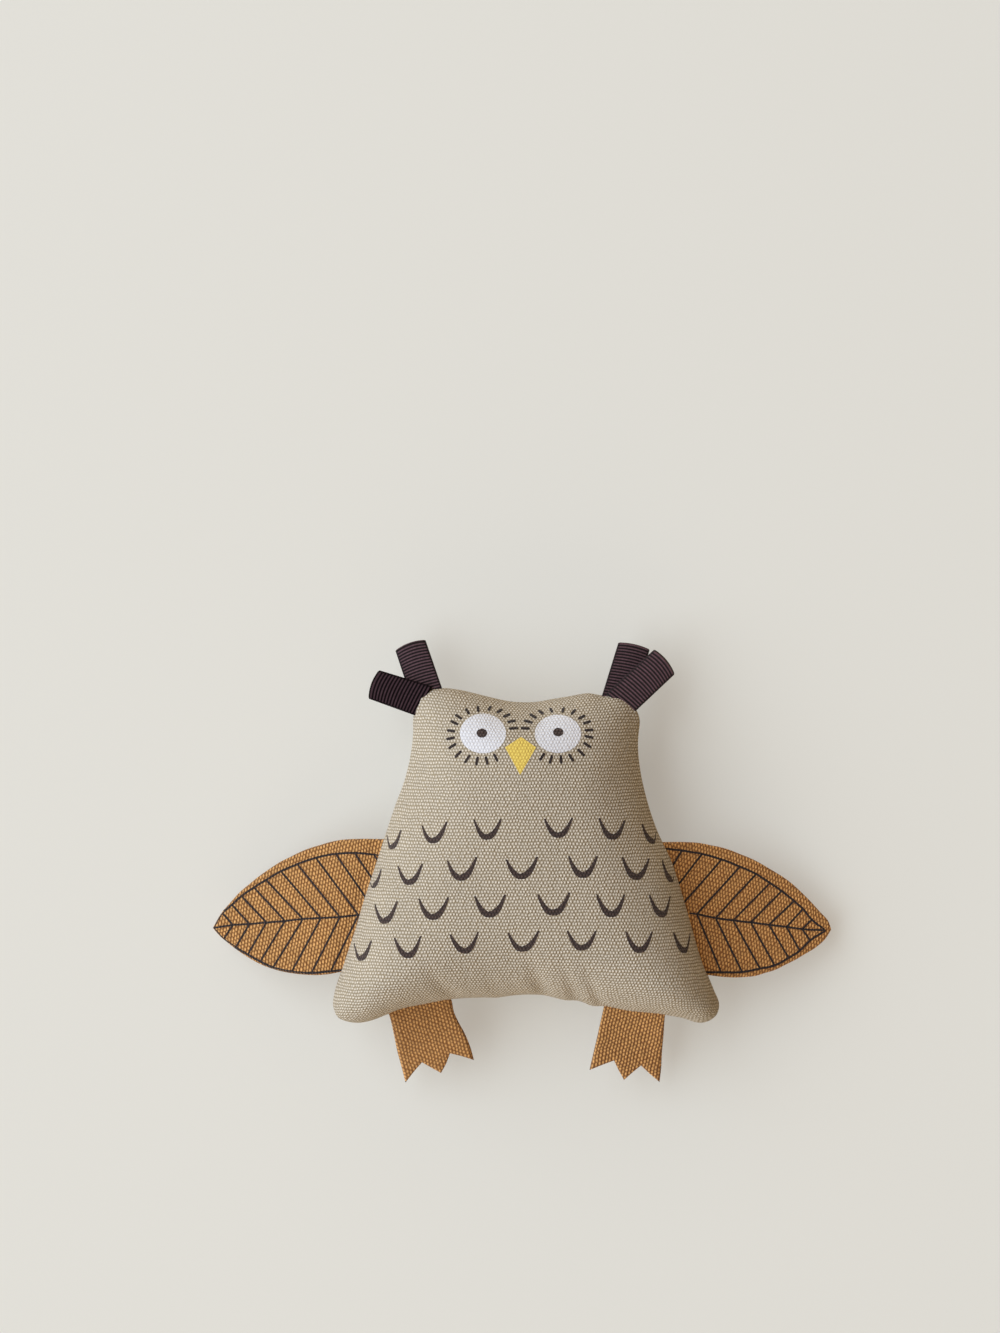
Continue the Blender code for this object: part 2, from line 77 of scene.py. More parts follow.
# The body's outline, side after side from its bottom left corner
BOTTOM_EDGE_PX = [(338.5, 1018), (346, 1021.3), (358, 1023), (370, 1021), (386, 1015), (402, 1009),
                  (426, 1004), (446, 1000), (468, 998), (486, 997.6), (497, 997.8), (507, 996.2),
                  (530, 994.6), (546, 995.6), (557, 998.4), (566, 1000.4), (577, 1000.5),
                  (584, 1002.6), (592, 1006.2), (602, 1006), (612, 1007.5), (626, 1010.5),
                  (650, 1013), (682, 1018), (702, 1023), (711, 1020)]
RIGHT_EDGE_PX = [(716.5, 1015), (719.5, 1005), (714, 990), (702, 960), (690, 920), (681, 890),
                 (671, 860), (657, 830), (647, 800), (640, 768), (638, 745), (639, 730), (640, 722),
                 (638, 713)]
TOP_EDGE_PX = [(633, 705.5), (627, 700.5), (621, 696.4), (615, 694.3), (609, 694.5),
               (603, 695.3), (596, 694.3), (589, 693.1), (581, 693.9), (570, 696), (552, 699),
               (538, 701.5), (512, 701.5), (490, 697), (474, 693), (458, 689.5), (442, 688),
               (431, 689.6)]
LEFT_EDGE_PX = [(424.5, 694), (419, 701), (415.2, 708), (413.4, 716), (413, 736), (410, 758),
                (404, 782), (395, 806), (387, 830), (379, 854), (371, 878), (363, 902),
                (356, 926), (348, 950), (340, 974), (334.5, 992), (333, 1006)]

# Body: flat canvas panels blown up as cloth. Its grid, and the rounds that even out the grid
# and the shift back to the outline
BODY_COLUMNS, BODY_ROWS = 96, 84
GRID_ROUNDS = 80
RIM_ROUNDS = 400
# The flat panels are this much larger than the outline that they take when filled
FLAT_STRETCH = (1.10, 1.09)
# The simulation runs at ten times the real size, where Blender's cloth is steadier
SIM_SCALE = 10.0
SIM_START_BULGE = 18 * MM
SIM_FRAMES = 36
CLOTH = {
    "quality": 8, "mass": 0.3, "air_damping": 4, "tension_stiffness": 60,
    "compression_stiffness": 60, "shear_stiffness": 20, "bending_stiffness": 4,
    "tension_damping": 20, "compression_damping": 20, "bending_damping": 2,
    "use_pressure": True, "uniform_pressure_force": 6.0, "shrink_min": 0, "shrink_max": 0.035}
# How far the panels stand off the seam's plane, over which height the back settles on the
# table, how far the filling lies inside, how much of the seam's own wave is kept, and how
# sharp the seam is
FRONT_BULGE = BODY_TOP - SEAM_HEIGHT
BACK_BULGE = SEAM_HEIGHT + 0.6 * MM
FLOOR_SOFTNESS = 0.35 * MM
FILLING_INSET = 1.1 * MM
SEAM_WAVE_SHARE = 0.3
SEAM_CREASE = 0.6
# How far the blown shape is brought to the stuffed solid's: a share that falls towards the head
STUFFING_ROUNDS = 14
STUFFING_SHARE = 0.85
STUFFING_SLANT = 0.011 / MM
# How far the simulation's folds are evened out, and over how many steps less so at the border
FOLD_ROUNDS = 30
FOLD_SHARE = 0.9
FOLD_BORDER_STEPS = 6
# The head's crown: height, where it starts above the toy's middle and how far it then takes to
# be full, width, and the distance from the seam over which it rises
HEAD_CROWN = 2.2 * MM
CROWN_START = 6 * MM
CROWN_RAMP = 22 * MM
CROWN_WIDTH = 40 * MM
CROWN_EDGE = 5 * MM
# The bottom edge's fullness: height, half width, the distance over which it rises from the
# seam, how far it reaches, the hollow above it, and where along the edge it is fuller
HEM_LIFT = 1.4 * MM
HEM_HALF_WIDTH = 32 * MM
HEM_RISE = 1.8 * MM
HEM_REACH = 9 * MM
HEM_HOLLOW = {"share": 0.3, "place": 18 * MM, "width": 7 * MM}
HEM_FULLER = {"share": 0.5, "place": -10 * MM, "width": 14 * MM}
# The weave shows only a share of the slope's extra length, because the cloth stretches there
WEAVE_SHARE = 0.7
# Puckers along the bottom edge: middle and half width in pixels, depth, and slant to the left;
# how far in they reach, and over which distance from the seam they deepen
PUCKERS = [(458, 8, 3.0 * MM, 0.55), (500, 7, 1.2 * MM, 0.3), (545, 7.5, 4.5 * MM, 0.35),
           (577, 5.5, 3.4 * MM, 0.35), (603, 5.5, 3.2 * MM, 0.5)]
PUCKER_REACH = 7.5 * MM
PUCKER_EDGE = 1.5 * MM
# Points of the outline lower than this place belong to its bottom
LOW_BODY_PX = (525, 900)
# The closing gap's ends along the bottom edge, and the stitches over it
CLOSING_GAP_PX = (542, 606)
CLOSING_STITCHES = 13

# Wings: outlines from the tip, each ending at the body; how far a root reaches inside the body,
# in pixels; how much the weave's rows lean; and how the cloth drops at the root and rises to the
# tip. A vein starts at each inner point of the midrib on both sides, and a few at the body.
WING_DROOP = math.radians(18)
WINGS = {
    "left": {
        "upper": [(213, 928), (222, 912.5), (231, 902), (240, 892), (250, 883.5), (260, 875.5),
                  (270, 868.5), (280, 862), (290, 857), (300, 852), (310, 848), (320, 845),
                  (330, 842), (340, 840), (360, 838.8), (383, 839)],
        "lower": [(213, 928), (220, 936), (230, 944.5), (240, 952), (250, 958.5), (260, 964),
                  (270, 968), (280, 971), (290, 973), (305, 974.7), (320, 975), (330, 974),
                  (341, 972)],
        "root_reach": 6,
        "lean": -0.16,
        "drop": -1.5 * MM,
        "rise": -1.5 * MM,
        "midrib": [(213.5, 928), (233, 925), (249.5, 924), (266.5, 922.5), (285, 921), (303, 919),
                   (321, 918), (340, 917), (358.5, 915), (364, 914.6)],
        "upper_line": [(213.5, 928), (222, 913.5), (232, 904.8), (241, 896.5), (254, 887.5),
                       (266, 880), (281, 871.3), (297, 864.3), (315, 858), (335, 854),
                       (355, 853), (379, 855.2)],
        "lower_line": [(213.5, 928), (224, 939.3), (236, 947.5), (247, 954), (259, 960.7),
                       (273, 967.3), (292, 971.6), (312, 972.8), (332, 971), (343, 970)],
        "upper_tips": [(223, 913.5), (232, 904.8), (242, 896.5), (254, 887.5), (266, 880),
                       (281, 871.5), (297.5, 864.3), (316, 858.2)],
        "body_veins": [((367, 899.5), (336, 854.4)), ((373, 880), (355, 853.5)),
                       ((379, 862), (374, 855.3))],
        "lower_tips": [(224, 938.5), (236, 947), (248, 954), (260.5, 961), (273, 967.5),
                       (292, 971), (312, 972), (331, 970.5)],
    },
    "right": {
        "upper": [(831, 929.5), (828, 921), (820, 912), (810, 901), (800, 891), (790, 882),
                  (780, 875), (770, 869), (760, 863), (750, 858), (740, 854), (730, 850),
                  (720, 847), (710, 845), (700, 843), (685, 842), (663, 842)],
        "lower": [(831, 929.5), (825, 939), (815, 948), (805, 954), (795, 960), (785, 965),
                  (775, 970), (765, 973), (755, 976), (745, 977), (735, 977.5), (725, 977),
                  (715, 976), (708, 975)],
        "root_reach": -6,
        "lean": 0.26,
        "drop": 1.8 * MM,
        "rise": 3.2 * MM,
        "midrib": [(689, 913), (696.8, 914.1), (715.5, 918), (733.1, 920.4), (750.7, 922.4),
                   (768.8, 924.8), (786.4, 926.9), (802.2, 929.1), (825.5, 930.3)],
        "upper_line": [(825.8, 930.5), (811.6, 919.5), (803, 909), (794, 901), (781.6, 891),
                       (770, 883), (756, 874), (740, 866.6), (721.6, 859.5), (702, 854),
                       (682, 850.6), (664, 848.5)],
        "lower_line": [(825.8, 930.5), (810, 940.5), (799.7, 950.7), (788.6, 957.8),
                       (774.6, 965.4), (760, 968.6), (742, 972), (721, 972.3), (704, 972)],
        "upper_tips": [(740, 866.6), (756, 874), (770, 883), (781.6, 891), (794, 901),
                       (803, 909), (811.6, 919.5)],
        "body_veins": [((680, 907.2), (721.6, 859.5)), ((674, 890), (702, 854)),
                       ((667, 874), (682, 850.6))],
        "lower_tips": [(721, 972), (742, 972), (760, 968.6), (774.6, 965.4), (788.6, 957.8),
                       (799.7, 950.7), (810, 940.5)],
    },
}

# Limbs' cloth: half thickness at the sewn edge, the ridge over the turned allowance, how plump
# it is and over which distance it gets so, and the height of its slow waves
EDGE_HALF = 0.95 * MM
RIDGE_HEIGHT = 0.12 * MM
RIDGE_PLACE = 2.2 * MM
RIDGE_WIDTH = 1.6 * MM
SWELL_EDGE = 7 * MM
WING_PLUMP, FOOT_PLUMP = 0.35 * MM, 0.1 * MM
WING_WAVE, FOOT_WAVE = 0.25 * MM, 0.2 * MM
# The waves' lengths along and across, their bend, and how far out wave, twist and drop are full
WAVE_ALONG, WAVE_ACROSS = 9 * MM, 11 * MM
WAVE_BEND = 1.3
WAVE_REACH, TWIST_REACH, DROP_REACH = 20 * MM, 12 * MM, 3 * MM
RISE_POWER = 1.2
# A wing's grid: stations along it, crowded at the tip, strips across it, steps of its edges
LEAF_STATIONS = 90
LEAF_STRIPS = 61
LEAF_STEPS = 400
LEAF_CROWDING = 1.35
# The thread inside a wing's edge, as far as the wing is wide enough
WING_SEAM_INSET = 1.6 * MM
WING_SEAM_LEAST_WIDTH = 6 * MM
# Widths of the printed lines, in pixels
VEIN_WIDTHS = {"upper_line": 2.1, "lower_line": 2.2, "midrib": 2.0}
SIDE_VEIN_WIDTH = 1.95

# Feet: two sides from the body to the outer claws, and the claws between them; and how far
# each foot twists
FOOT_DROOP = math.radians(20)
FEET = {
    "left": {
        "twist": -0.2,
        "left": [(387, 1009), (389.5, 1016), (394, 1035), (397, 1050), (401, 1065),
                 (405.5, 1082.5)],
        "claws": [(405.5, 1082.5), (414, 1071.5), (422, 1062.3), (431, 1067.5), (441, 1073),
                  (446.5, 1063), (450, 1053.3), (461, 1056), (474, 1060)],
        "right": [(449, 994), (451.5, 1000), (454, 1012), (458, 1021), (464, 1032), (470, 1046),
                  (474, 1060)],
    },
    "right": {
        "twist": 0.2,
        "left": [(605.5, 999.5), (604, 1006), (601, 1019), (598, 1033), (594, 1050),
                 (589.5, 1070)],
        "claws": [(589.5, 1070), (602, 1065), (614, 1060.5), (618.5, 1070), (624, 1080),
                  (633, 1072), (641, 1065.5), (650, 1074), (659.5, 1082)],
        "right": [(666, 1009), (665, 1016), (663.5, 1035), (662, 1052), (661, 1070),
                  (659.5, 1082)],
    },
}

# Ear ribbons: the top leg's ends at the root and at the fold, each from the ribbon's left edge
# to its right edge as one looks out along it; how far the fold bows out, in pixels; and a
# painted light factor: painted shade on the left outer loop, painted light on the right outer one
RIBBONS = {
    "left_ribbon_inner": {"root": [(413, 703.5), (444, 694)],
                          "fold": [(395.1, 649.8), (425.1, 639.2)], "bulge": 2, "painted_light": 1.0},
    "left_ribbon_outer": {"root": [(415, 715.5), (431, 686)],
                          "fold": [(368.2, 698.5), (378.7, 670.1)], "bulge": 2.2, "painted_light": 0.5},
    "right_ribbon_inner": {"root": [(601.3, 698), (633.5, 704)],
                           "fold": [(618.8, 641.7), (650, 648.7)], "bulge": 1.2, "painted_light": 1.0},
    "right_ribbon_outer": {"root": [(607, 693), (632.8, 713.8)],
                           "fold": [(654.7, 649.3), (675.1, 673.8)], "bulge": 2.2, "painted_light": 1.2},
}
RIBBON_DROOP = {"inner": math.radians(22), "outer": math.radians(14)}
RIBBON_THICKNESS = 0.42 * MM
RIBBON_FOLD_RADIUS = 0.75 * MM
RIBBON_CUP = 0.5 * MM
RIB_PITCH = 1.03 * MM
RIB_HEIGHT = 0.22 * MM
RIBBON_HALF_WIDTH = 5 * MM
RIBBON_COLUMNS = 25
STEPS_PER_RIB = 10
# The two legs come together at the root: how steeply, and by what share
PINCH_POWER = 1.6
PINCH_SHARE = 0.5
# The selvedge's share of the half width, how far the ribs stick out there, and its thinning
SELVEDGE_SHARE = 0.1
SELVEDGE_WAVE = 0.012
SELVEDGE_THINNING = 0.75
# Grosgrain: its warp threads' pitch, the ends of the painted highlight on a rib's crest as shares
# of the pitch from its middle, where that painted highlight fades at the selvedge, and the relief
# of the threads
WARP_PITCH = 0.27 * MM
CREST_HIGHLIGHT_ENDS = (0.38, 0.04)
CREST_HIGHLIGHT_FADE = (4.3 * MM, 4.6 * MM)
WARP_RELIEF = 0.04 * MM

# Printed face and feathers
EYES_PX = [((482.9, 733.5), (23.0, 19.8)), ((557.9, 733.9), (23.2, 19.0))]
PUPILS_PX = [((481.9, 733.2), (5.2, 4.5)), ((558.2, 732.2), (5.2, 4.2))]
BEAK_PX = [(505, 747.4), (521.1, 736.9), (536.1, 747.4), (520.1, 775)]
LASHES_PX = [
    ((466.0, 709.0), (469.1, 713.8)), ((477.8, 706.6), (478.3, 711.4)),
    ((490.7, 706.6), (488.5, 710.2)), ((501.7, 709.7), (497.3, 712.4)),
    ((509.9, 714.3), (503.8, 716.8)), ((515.2, 720.7), (507.9, 722.1)),
    ((517.6, 728.1), (509.7, 728.6)), ((455.8, 715.0), (461.4, 718.7)),
    ((451.2, 721.2), (457.6, 724.3)), ((447.7, 730.4), (454.6, 731.4)),
    ((446.9, 739.1), (454.3, 737.6)), ((449.2, 748.2), (455.8, 743.9)),
    ((455.5, 757.1), (460.9, 751.3)), ((465.0, 762.4), (469.8, 755.6)),
    ((476.2, 764.8), (477.8, 757.3)), ((487.7, 764.1), (485.7, 757.1)),
    ((497.4, 760.9), (494.1, 754.4)), ((550.2, 708.7), (552.2, 712.0)),
    ((563.8, 708.0), (562.4, 712.2)), ((575.2, 710.0), (571.4, 714.1)),
    ((584.7, 715.8), (579.0, 718.6)), ((590.2, 721.4), (583.7, 723.5)),
    ((592.8, 729.8), (585.2, 730.4)), ((592.6, 737.8), (585.2, 736.2)),
    ((590.5, 747.1), (584.1, 743.1)), ((584.1, 755.4), (578.0, 749.7)),
    ((573.2, 761.0), (569.1, 754.6)), ((561.2, 763.1), (560.7, 755.9)),
    ((549.9, 763.1), (551.9, 755.9)), ((540.0, 759.9), (544.3, 753.6)),
    ((539.0, 710.9), (543.1, 713.8)), ((530.3, 714.6), (536.2, 717.9)),
    ((524.5, 720.7), (532.0, 722.7)), ((521.3, 728.1), (529.1, 728.6))]
# Feather marks: left tip, lowest point, right tip
FEATHERS_PX = [
    ((387.3, 834.9), (391.0, 849.0), (401.1, 830.3)),
    ((421.9, 825.7), (432.6, 842.8), (447.0, 822.0)),
    ((474.0, 819.9), (486.2, 839.2), (501.2, 819.6)),
    ((544.4, 819.0), (558.1, 837.3), (572.5, 818.0)),
    ((599.2, 818.3), (612.3, 839.2), (624.9, 820.5)),
    ((642.0, 824.5), (653.6, 843.4), (655.8, 830.6)),
    ((370.5, 882.3), (373.0, 887.5), (381.2, 869.5)),
    ((398.1, 866.4), (408.8, 884.5), (422.5, 864.0)),
    ((447.3, 861.2), (460.8, 880.2), (476.7, 857.5)),
    ((506.1, 859.7), (521.1, 878.6), (537.6, 857.2)),
    ((568.5, 856.3), (582.6, 877.4), (597.3, 856.3)),
    ((622.1, 857.5), (636.2, 879.3), (649.0, 858.8)),
    ((662.2, 860.3), (672.0, 882.0), (673.5, 872.5)),
    ((375.1, 904.7), (383.7, 923.3), (397.4, 901.6)),
    ((418.9, 899.2), (432.6, 919.4), (448.6, 897.6)),
    ((474.6, 896.4), (489.3, 916.9), (505.8, 894.9)),
    ((537.6, 894.6), (553.2, 915.1), (569.8, 893.0)),
    ((596.4, 894.6), (611.7, 916.6), (624.6, 894.6)),
    ((649.4, 895.5), (662.8, 916.9), (669.9, 896.4)),
    ((354.6, 943.8), (360.1, 960.4), (371.4, 940.8)),
    ((394.4, 938.3), (408.2, 957.6), (421.0, 936.2)),
    ((450.1, 934.7), (465.4, 953.0), (478.2, 932.2)),
    ((508.2, 933.1), (522.3, 951.2), (538.9, 931.3)),
    ((567.3, 931.3), (581.7, 950.0), (596.1, 931.0)),
    ((625.8, 931.9), (639.6, 952.4), (652.1, 931.9)),
    ((673.5, 932.8), (685.2, 952.7), (689.8, 932.8))]
INK_LIFT = 0.07 * MM
# A printed quad longer than this has leapt over an edge of the cloth
INK_LEAP = 4 * MM
# Ink isn't printed where the cloth turns this steeply away from above
INK_STEEPEST = 0.02
# A stroke's width narrows at its ends by the root of one less this share
STROKE_END = 0.85
# Place on the cloth of its middle, so that no place is negative
WEAVE_ORIGIN = 1.0

# Threads: radii, how far the seam's lies inside the outline, and a stitch's half circle round
# the seam: its radii, its middle's inset, its slant, and half its turn
THREAD_RADIUS = 0.2 * MM
STITCH_RADIUS = 0.17 * MM
SEAM_INSET = 1.2 * MM
STITCH_REACH, STITCH_HEIGHT = 0.75 * MM, 0.95 * MM
STITCH_INSET = 0.85 * MM
STITCH_SLANT = 0.45 * MM
STITCH_TURN = 1.35
STITCH_STEPS = 4

# Canvas: how far its rows wander and over what noise; how far a bead strays from its place, and
# the middle of its places; where its slope ends and starts, as shares of its size; how far the
# colour's bead lies off the relief's, which leaves a painted shadow along one side of each bead;
# how much shade, height and fibres vary; and its relief
ROW_DRIFT, DRIFT_SCALE = 0.7, 170.0
BEAD_STRAY, BEAD_MIDDLE = (0.2, 0.16), (0.6, 0.58)
BEAD_FOOT, BEAD_TOP = 1.2, 0.15
BEAD_PAINTED_SHADOW_SHIFT = 0.07
SHADE_DRIFT, SHADE_SCALE = 0.12, 45.0
BEAD_LOWEST, BEAD_SPREAD = 0.7, 0.45
FIBRE_HEIGHT, FIBRE_SCALE = 0.12, 4200.0
CANVAS_RELIEF = 0.35 * MM

# Lamps: place, size, watts and colour
LAMPS = {
    "window": ((-2.9, 0.35, 2.75), (7.2, 4.3), 276, (0.86, 1.0, 1.13)),
    "low_card": ((-0.3, -2.4, 1.0), (2.4, 1.2), 15, (1.0, 0.88, 0.7)),
    "high_card": ((-0.3, 2.4, 1.0), (2.4, 1.2), 9, (1.0, 0.88, 0.7)),
}
ROOM_COLOUR = (1, 0.7, 0.42, 1)
ROOM_STRENGTH = 0.26
FLOOR_REACH = 3.0
rng = np.random.default_rng(11)


# Values and vectors

def unit(vectors):
    """Each vector over its own length."""
    return vectors / np.linalg.norm(vectors, axis=-1)[..., None]


def between(low, high, share):
    """A share of the way from one value to the other."""
    return low * (1 - share) + high * share


def bell(distance, width, power=2):
    """1 at no distance, falling as e to minus a power of the distance over the width."""
    return np.exp(-(distance / width) ** power)


def rising(distance, reach):
    """0 at no distance, rising to 1 as one less e to minus the distance over the reach."""
    return 1 - np.exp(-distance / reach)


# Photograph and plan

CAMERA = np.array([*((np.array(PHOTO_SIZE) / 2 - ORIGIN_PX) * (1, -1) * PIXEL),
                   SEAM_HEIGHT + CAMERA_DISTANCE])


def on_seam_plane(pixels):
    """Points of the seam's plane: each pixel's offset from the origin's, times a pixel's size."""
    plan = (np.asarray(pixels, float) - ORIGIN_PX) * (1, -1) * PIXEL
    return np.concatenate([plan, np.full(plan.shape[:-1] + (1,), SEAM_HEIGHT)], -1)


def column_place(column):
    """How far right of the origin a pixel's column is, on the seam's plane."""
    return (column - ORIGIN_PX[0]) * PIXEL


def on_plane(pixels, point, normal):
    """Where the camera's ray through each pixel meets a plane: the ray is scaled by the
    plane's distance over the ray's own share of it."""
    rays = on_seam_plane(pixels) - CAMERA
    share = ((point - CAMERA) @ normal) / (rays @ normal)
    return CAMERA + rays * share[..., None]


def chord_lengths(points):
    """Distance travelled along a polyline, from 0 at its first point."""
    return np.concatenate([[0], np.cumsum(np.linalg.norm(np.diff(points, axis=0), axis=1))])


def even_run(points, count):
    """Evenly spaced points along a polyline."""
    travel = chord_lengths(points)
    even = np.linspace(0, travel[-1], count)
    return np.stack([np.interp(even, travel, axis) for axis in np.asarray(points).T], -1)


def smooth_curve(points, count, closed=False):
    """A smooth curve through the points, evenly spaced: cubic Hermite pieces whose end slopes
    are the mean slopes at each point."""
    points = np.asarray(points, float)
    if closed:
        points = np.vstack([points[-3:], points, points[:4]])
    travel = chord_lengths(points)
    slope = np.gradient(points, travel, axis=0)
    ends = (travel[3], travel[-4]) if closed else (0, travel[-1])
    dense = np.linspace(*ends, count * 6)
    i = np.clip(np.searchsorted(travel, dense, side="right") - 1, 0, len(points) - 2)
    gap = (travel[i + 1] - travel[i])[:, None]
    t = (dense - travel[i])[:, None] / gap
    curve = (points[i] * (1 + 2 * t) * (1 - t) ** 2 + slope[i] * gap * t * (1 - t) ** 2
             + points[i + 1] * t ** 2 * (3 - 2 * t) + slope[i + 1] * gap * t ** 2 * (t - 1))
    return even_run(curve, count)


def spread(low, right, top, left):
    """A grid between four sides, all run in the direction of rising u or v: the blend of the
    two opposite sides each way, less the blend of the corners."""
    u = np.linspace(0, 1, len(low))[None, :, None]
    v = np.linspace(0, 1, len(right))[:, None, None]
    across = (1 - u) * left[:, None] + u * right[:, None]
    along = (1 - v) * low[None] + v * top[None]
    corners = (1 - u) * (1 - v) * low[0] + u * (1 - v) * low[-1]
    corners = corners + (1 - u) * v * top[0] + u * v * top[-1]
    return across + along - corners


def relax(grid, rounds):
    """Even out a grid's inner points: each becomes the mean of its four neighbours."""
    for _ in range(rounds):
        grid[1:-1, 1:-1] = (grid[:-2, 1:-1] + grid[2:, 1:-1] + grid[1:-1, :-2]
                            + grid[1:-1, 2:]) / 4
    return grid


# Meshes

def numbered(rows, columns, first=0):
    """A grid's vertex numbers."""
    return np.arange(rows * columns).reshape(rows, columns) + first


def joined(at):
    """The quads between a grid's vertex numbers."""
    return np.stack([at[:-1, :-1], at[:-1, 1:], at[1:, 1:], at[1:, :-1]], -1).reshape(-1, 4)


def rim_of(numbers):
    """A grid's border, once round."""
    return np.concatenate([numbers[0, :-1], numbers[:-1, -1], numbers[-1, :0:-1],
                           numbers[:0:-1, 0]])


def read(items, key, width=1, kind=float):
    """One property of all of a mesh's items, as an array."""
    flat = np.empty(len(items) * width, kind)
    items.foreach_get(key, flat)
    return flat.reshape(-1, width) if width > 1 else flat


def new_piece(name, points, faces, cloth_uv=None, weld=None):
    """A smooth mesh object at the origin, with its place on the cloth as a UV map in metres.
    Where weld is given, points that close together become one, and faces are turned outwards."""
    mesh = bpy.data.meshes.new(name)
    mesh.from_pydata(np.asarray(points, float).reshape(-1, 3).tolist(), [],
                     faces if isinstance(faces, list) else faces.tolist())
    if cloth_uv is not None:
        corner = read(mesh.loops, "vertex_index", kind=int)
        layer = mesh.uv_layers.new(name="weave")
        layer.data.foreach_set("uv", np.asarray(cloth_uv, float).reshape(-1, 2)[corner].ravel())
    if weld is not None:
        bm = bmesh.new()
        bm.from_mesh(mesh)
        if weld:
            bmesh.ops.remove_doubles(bm, verts=bm.verts, dist=weld)
        bmesh.ops.recalc_face_normals(bm, faces=bm.faces)
        bm.to_mesh(mesh)
        bm.free()
    mesh.shade_smooth()
    obj = bpy.data.objects.new(name, mesh)
    bpy.context.scene.collection.objects.link(obj)
    return obj


def apply_modifiers(obj):
    """Replace the object's mesh by what its modifiers make of it."""
    graph = bpy.context.evaluated_depsgraph_get()
    finished = bpy.data.meshes.new_from_object(obj.evaluated_get(graph))
    obj.modifiers.clear()
    obj.data = finished


# Body

def outline_sides():
    """The body's outline as four evenly spaced runs: bottom and top from the left, right and
    left from the bottom."""
    chains = [BOTTOM_EDGE_PX, RIGHT_EDGE_PX, TOP_EDGE_PX, LEFT_EDGE_PX]
    dense = smooth_curve(on_seam_plane(np.vstack(chains))[:, :2], 4000, closed=True)
    starts = [int(np.argmin(np.linalg.norm(dense - on_seam_plane(chain[0])[:2], axis=1)))
              for chain in chains]
    runs = []
    for k, steps in enumerate((BODY_COLUMNS, BODY_ROWS, BODY_COLUMNS, BODY_ROWS)):
        end = starts[(k + 1) % 4]
        if end <= starts[k]:
            end += len(dense)
        runs.append(even_run(dense[np.arange(starts[k], end + 1) % len(dense)], steps + 1))
    bottom, right, top, left = runs
    return bottom, right, top[::-1], left[::-1]


def blow_up(plan, faces, rim, sign):
    """Fill the sewn panels: cloth whose rest lengths are those of the flat panels, under
    pressure, its seam drawn in a little by the thread. Returns the points about the seam."""
    centre = plan.mean(axis=0)
    flat = (plan - centre) * FLAT_STRETCH + centre
    gap = np.min(np.linalg.norm(plan[:, None] - plan[rim][None, ::3], axis=2), axis=1)
    start = np.column_stack([plan, SIM_START_BULGE * np.sqrt(gap / gap.max()) * sign]) * SIM_SCALE
    bag = new_piece("body_bag", start, faces)
    bag.shape_key_add(name="Basis")
    cut = bag.shape_key_add(name="flat")
    cut.data.foreach_set("co", np.column_stack([flat, 0 * sign]).ravel() * SIM_SCALE)
    seam = bag.vertex_groups.new(name="seam")
    seam.add([int(i) for i in rim], 1.0, "REPLACE")
    cloth = bag.modifiers.new("Cloth", "CLOTH")
    settings = cloth.settings
    for key, value in CLOTH.items():
        setattr(settings, key, value)
    settings.rest_shape_key = cut
    settings.vertex_group_shrink = "seam"
    settings.effector_weights.gravity = 0
    cloth.collision_settings.use_collision = False
    cloth.point_cache.frame_end = SIM_FRAMES
    scene = bpy.context.scene
    for step in range(1, SIM_FRAMES + 1):
        scene.frame_set(step)
    graph = bpy.context.evaluated_depsgraph_get()
    blown = bpy.data.meshes.new_from_object(bag.evaluated_get(graph))
    points = read(blown.vertices, "co", 3) / SIM_SCALE
    bpy.data.meshes.remove(blown)
    bpy.data.objects.remove(bag)
    scene.frame_set(1)
    return points


def solid_heights(node, plan, side):
    """Height of a CAD solid's outer face over or under each point of the plan, as a height
    above the seam; side is 1 for its upper face and -1 for its lower one."""
    mesh = bpy.data.objects[node].data
    mesh.calc_loop_triangles()
    tree = BVHTree.FromPolygons([tuple(v.co) for v in mesh.vertices],
                                [tuple(t.vertices) for t in mesh.loop_triangles])
    found = []
    for x, y in plan.reshape(-1, 2):
        hit = tree.ray_cast(Vector((x, y, side)), Vector((0, 0, -side)))
        found.append(hit[0].z - SEAM_HEIGHT if hit[0] else 0.0)
    return np.array(found).reshape(plan.shape[:-1])


def calmed(values):
    """The cloth's folds made softer: a grid of values averaged with their neighbours along each
    row and then each column, and less so near the border that the row or column ends at."""
    for _ in range(2):
        even = values.copy()
        for _ in range(FOLD_ROUNDS):
            even[:, 1:-1] = (even[:, :-2] + 2 * even[:, 1:-1] + even[:, 2:]) / 4
        steps = np.arange(values.shape[1])
        inside = 1 - bell(np.minimum(steps, steps[::-1]), FOLD_BORDER_STEPS)
        values = (values + (even - values) * FOLD_SHARE * inside).T
    return values


def hand_shaping(plan, seam):
    """What the filling and the hand sewing add to the smooth shape: the head's round crown, a
    cosine across it; a fuller bottom edge; and puckers there, bell-shaped hollows that slant
    and fade away from the seam."""
    x, y = plan[..., 0], plan[..., 1]
    gap = np.linalg.norm(plan[..., None, :] - seam, axis=-1).min(axis=-1)
    bottom = seam[seam[:, 1] < on_seam_plane(LOW_BODY_PX)[1]]
    hem = np.linalg.norm(plan[..., None, :] - bottom, axis=-1).min(axis=-1)
    up_head = np.clip((y - CROWN_START) / CROWN_RAMP, 0, 1)
    crown = np.cos(math.pi * x / CROWN_WIDTH) * up_head ** 2 * (3 - 2 * up_head)
    shape = HEAD_CROWN * crown * rising(gap, CROWN_EDGE)
    fuller = bell(x - HEM_FULLER["place"], HEM_FULLER["width"])
    middle = bell(x, HEM_HALF_WIDTH, 4) * (1 + HEM_FULLER["share"] * fuller)
    rise = rising(hem, HEM_RISE) * bell(hem, HEM_REACH, 1.5)
    hollow = HEM_HOLLOW["share"] * bell(hem - HEM_HOLLOW["place"], HEM_HOLLOW["width"])
    shape += HEM_LIFT * middle * (rise - hollow)
    fade = bell(hem, PUCKER_REACH, 1.5) * rising(hem, PUCKER_EDGE)
    for place, half_width, depth, slant in PUCKERS:
        from_middle = x - column_place(place) + slant * hem
        shape -= depth * bell(from_middle, half_width * PIXEL) * fade
    return shape


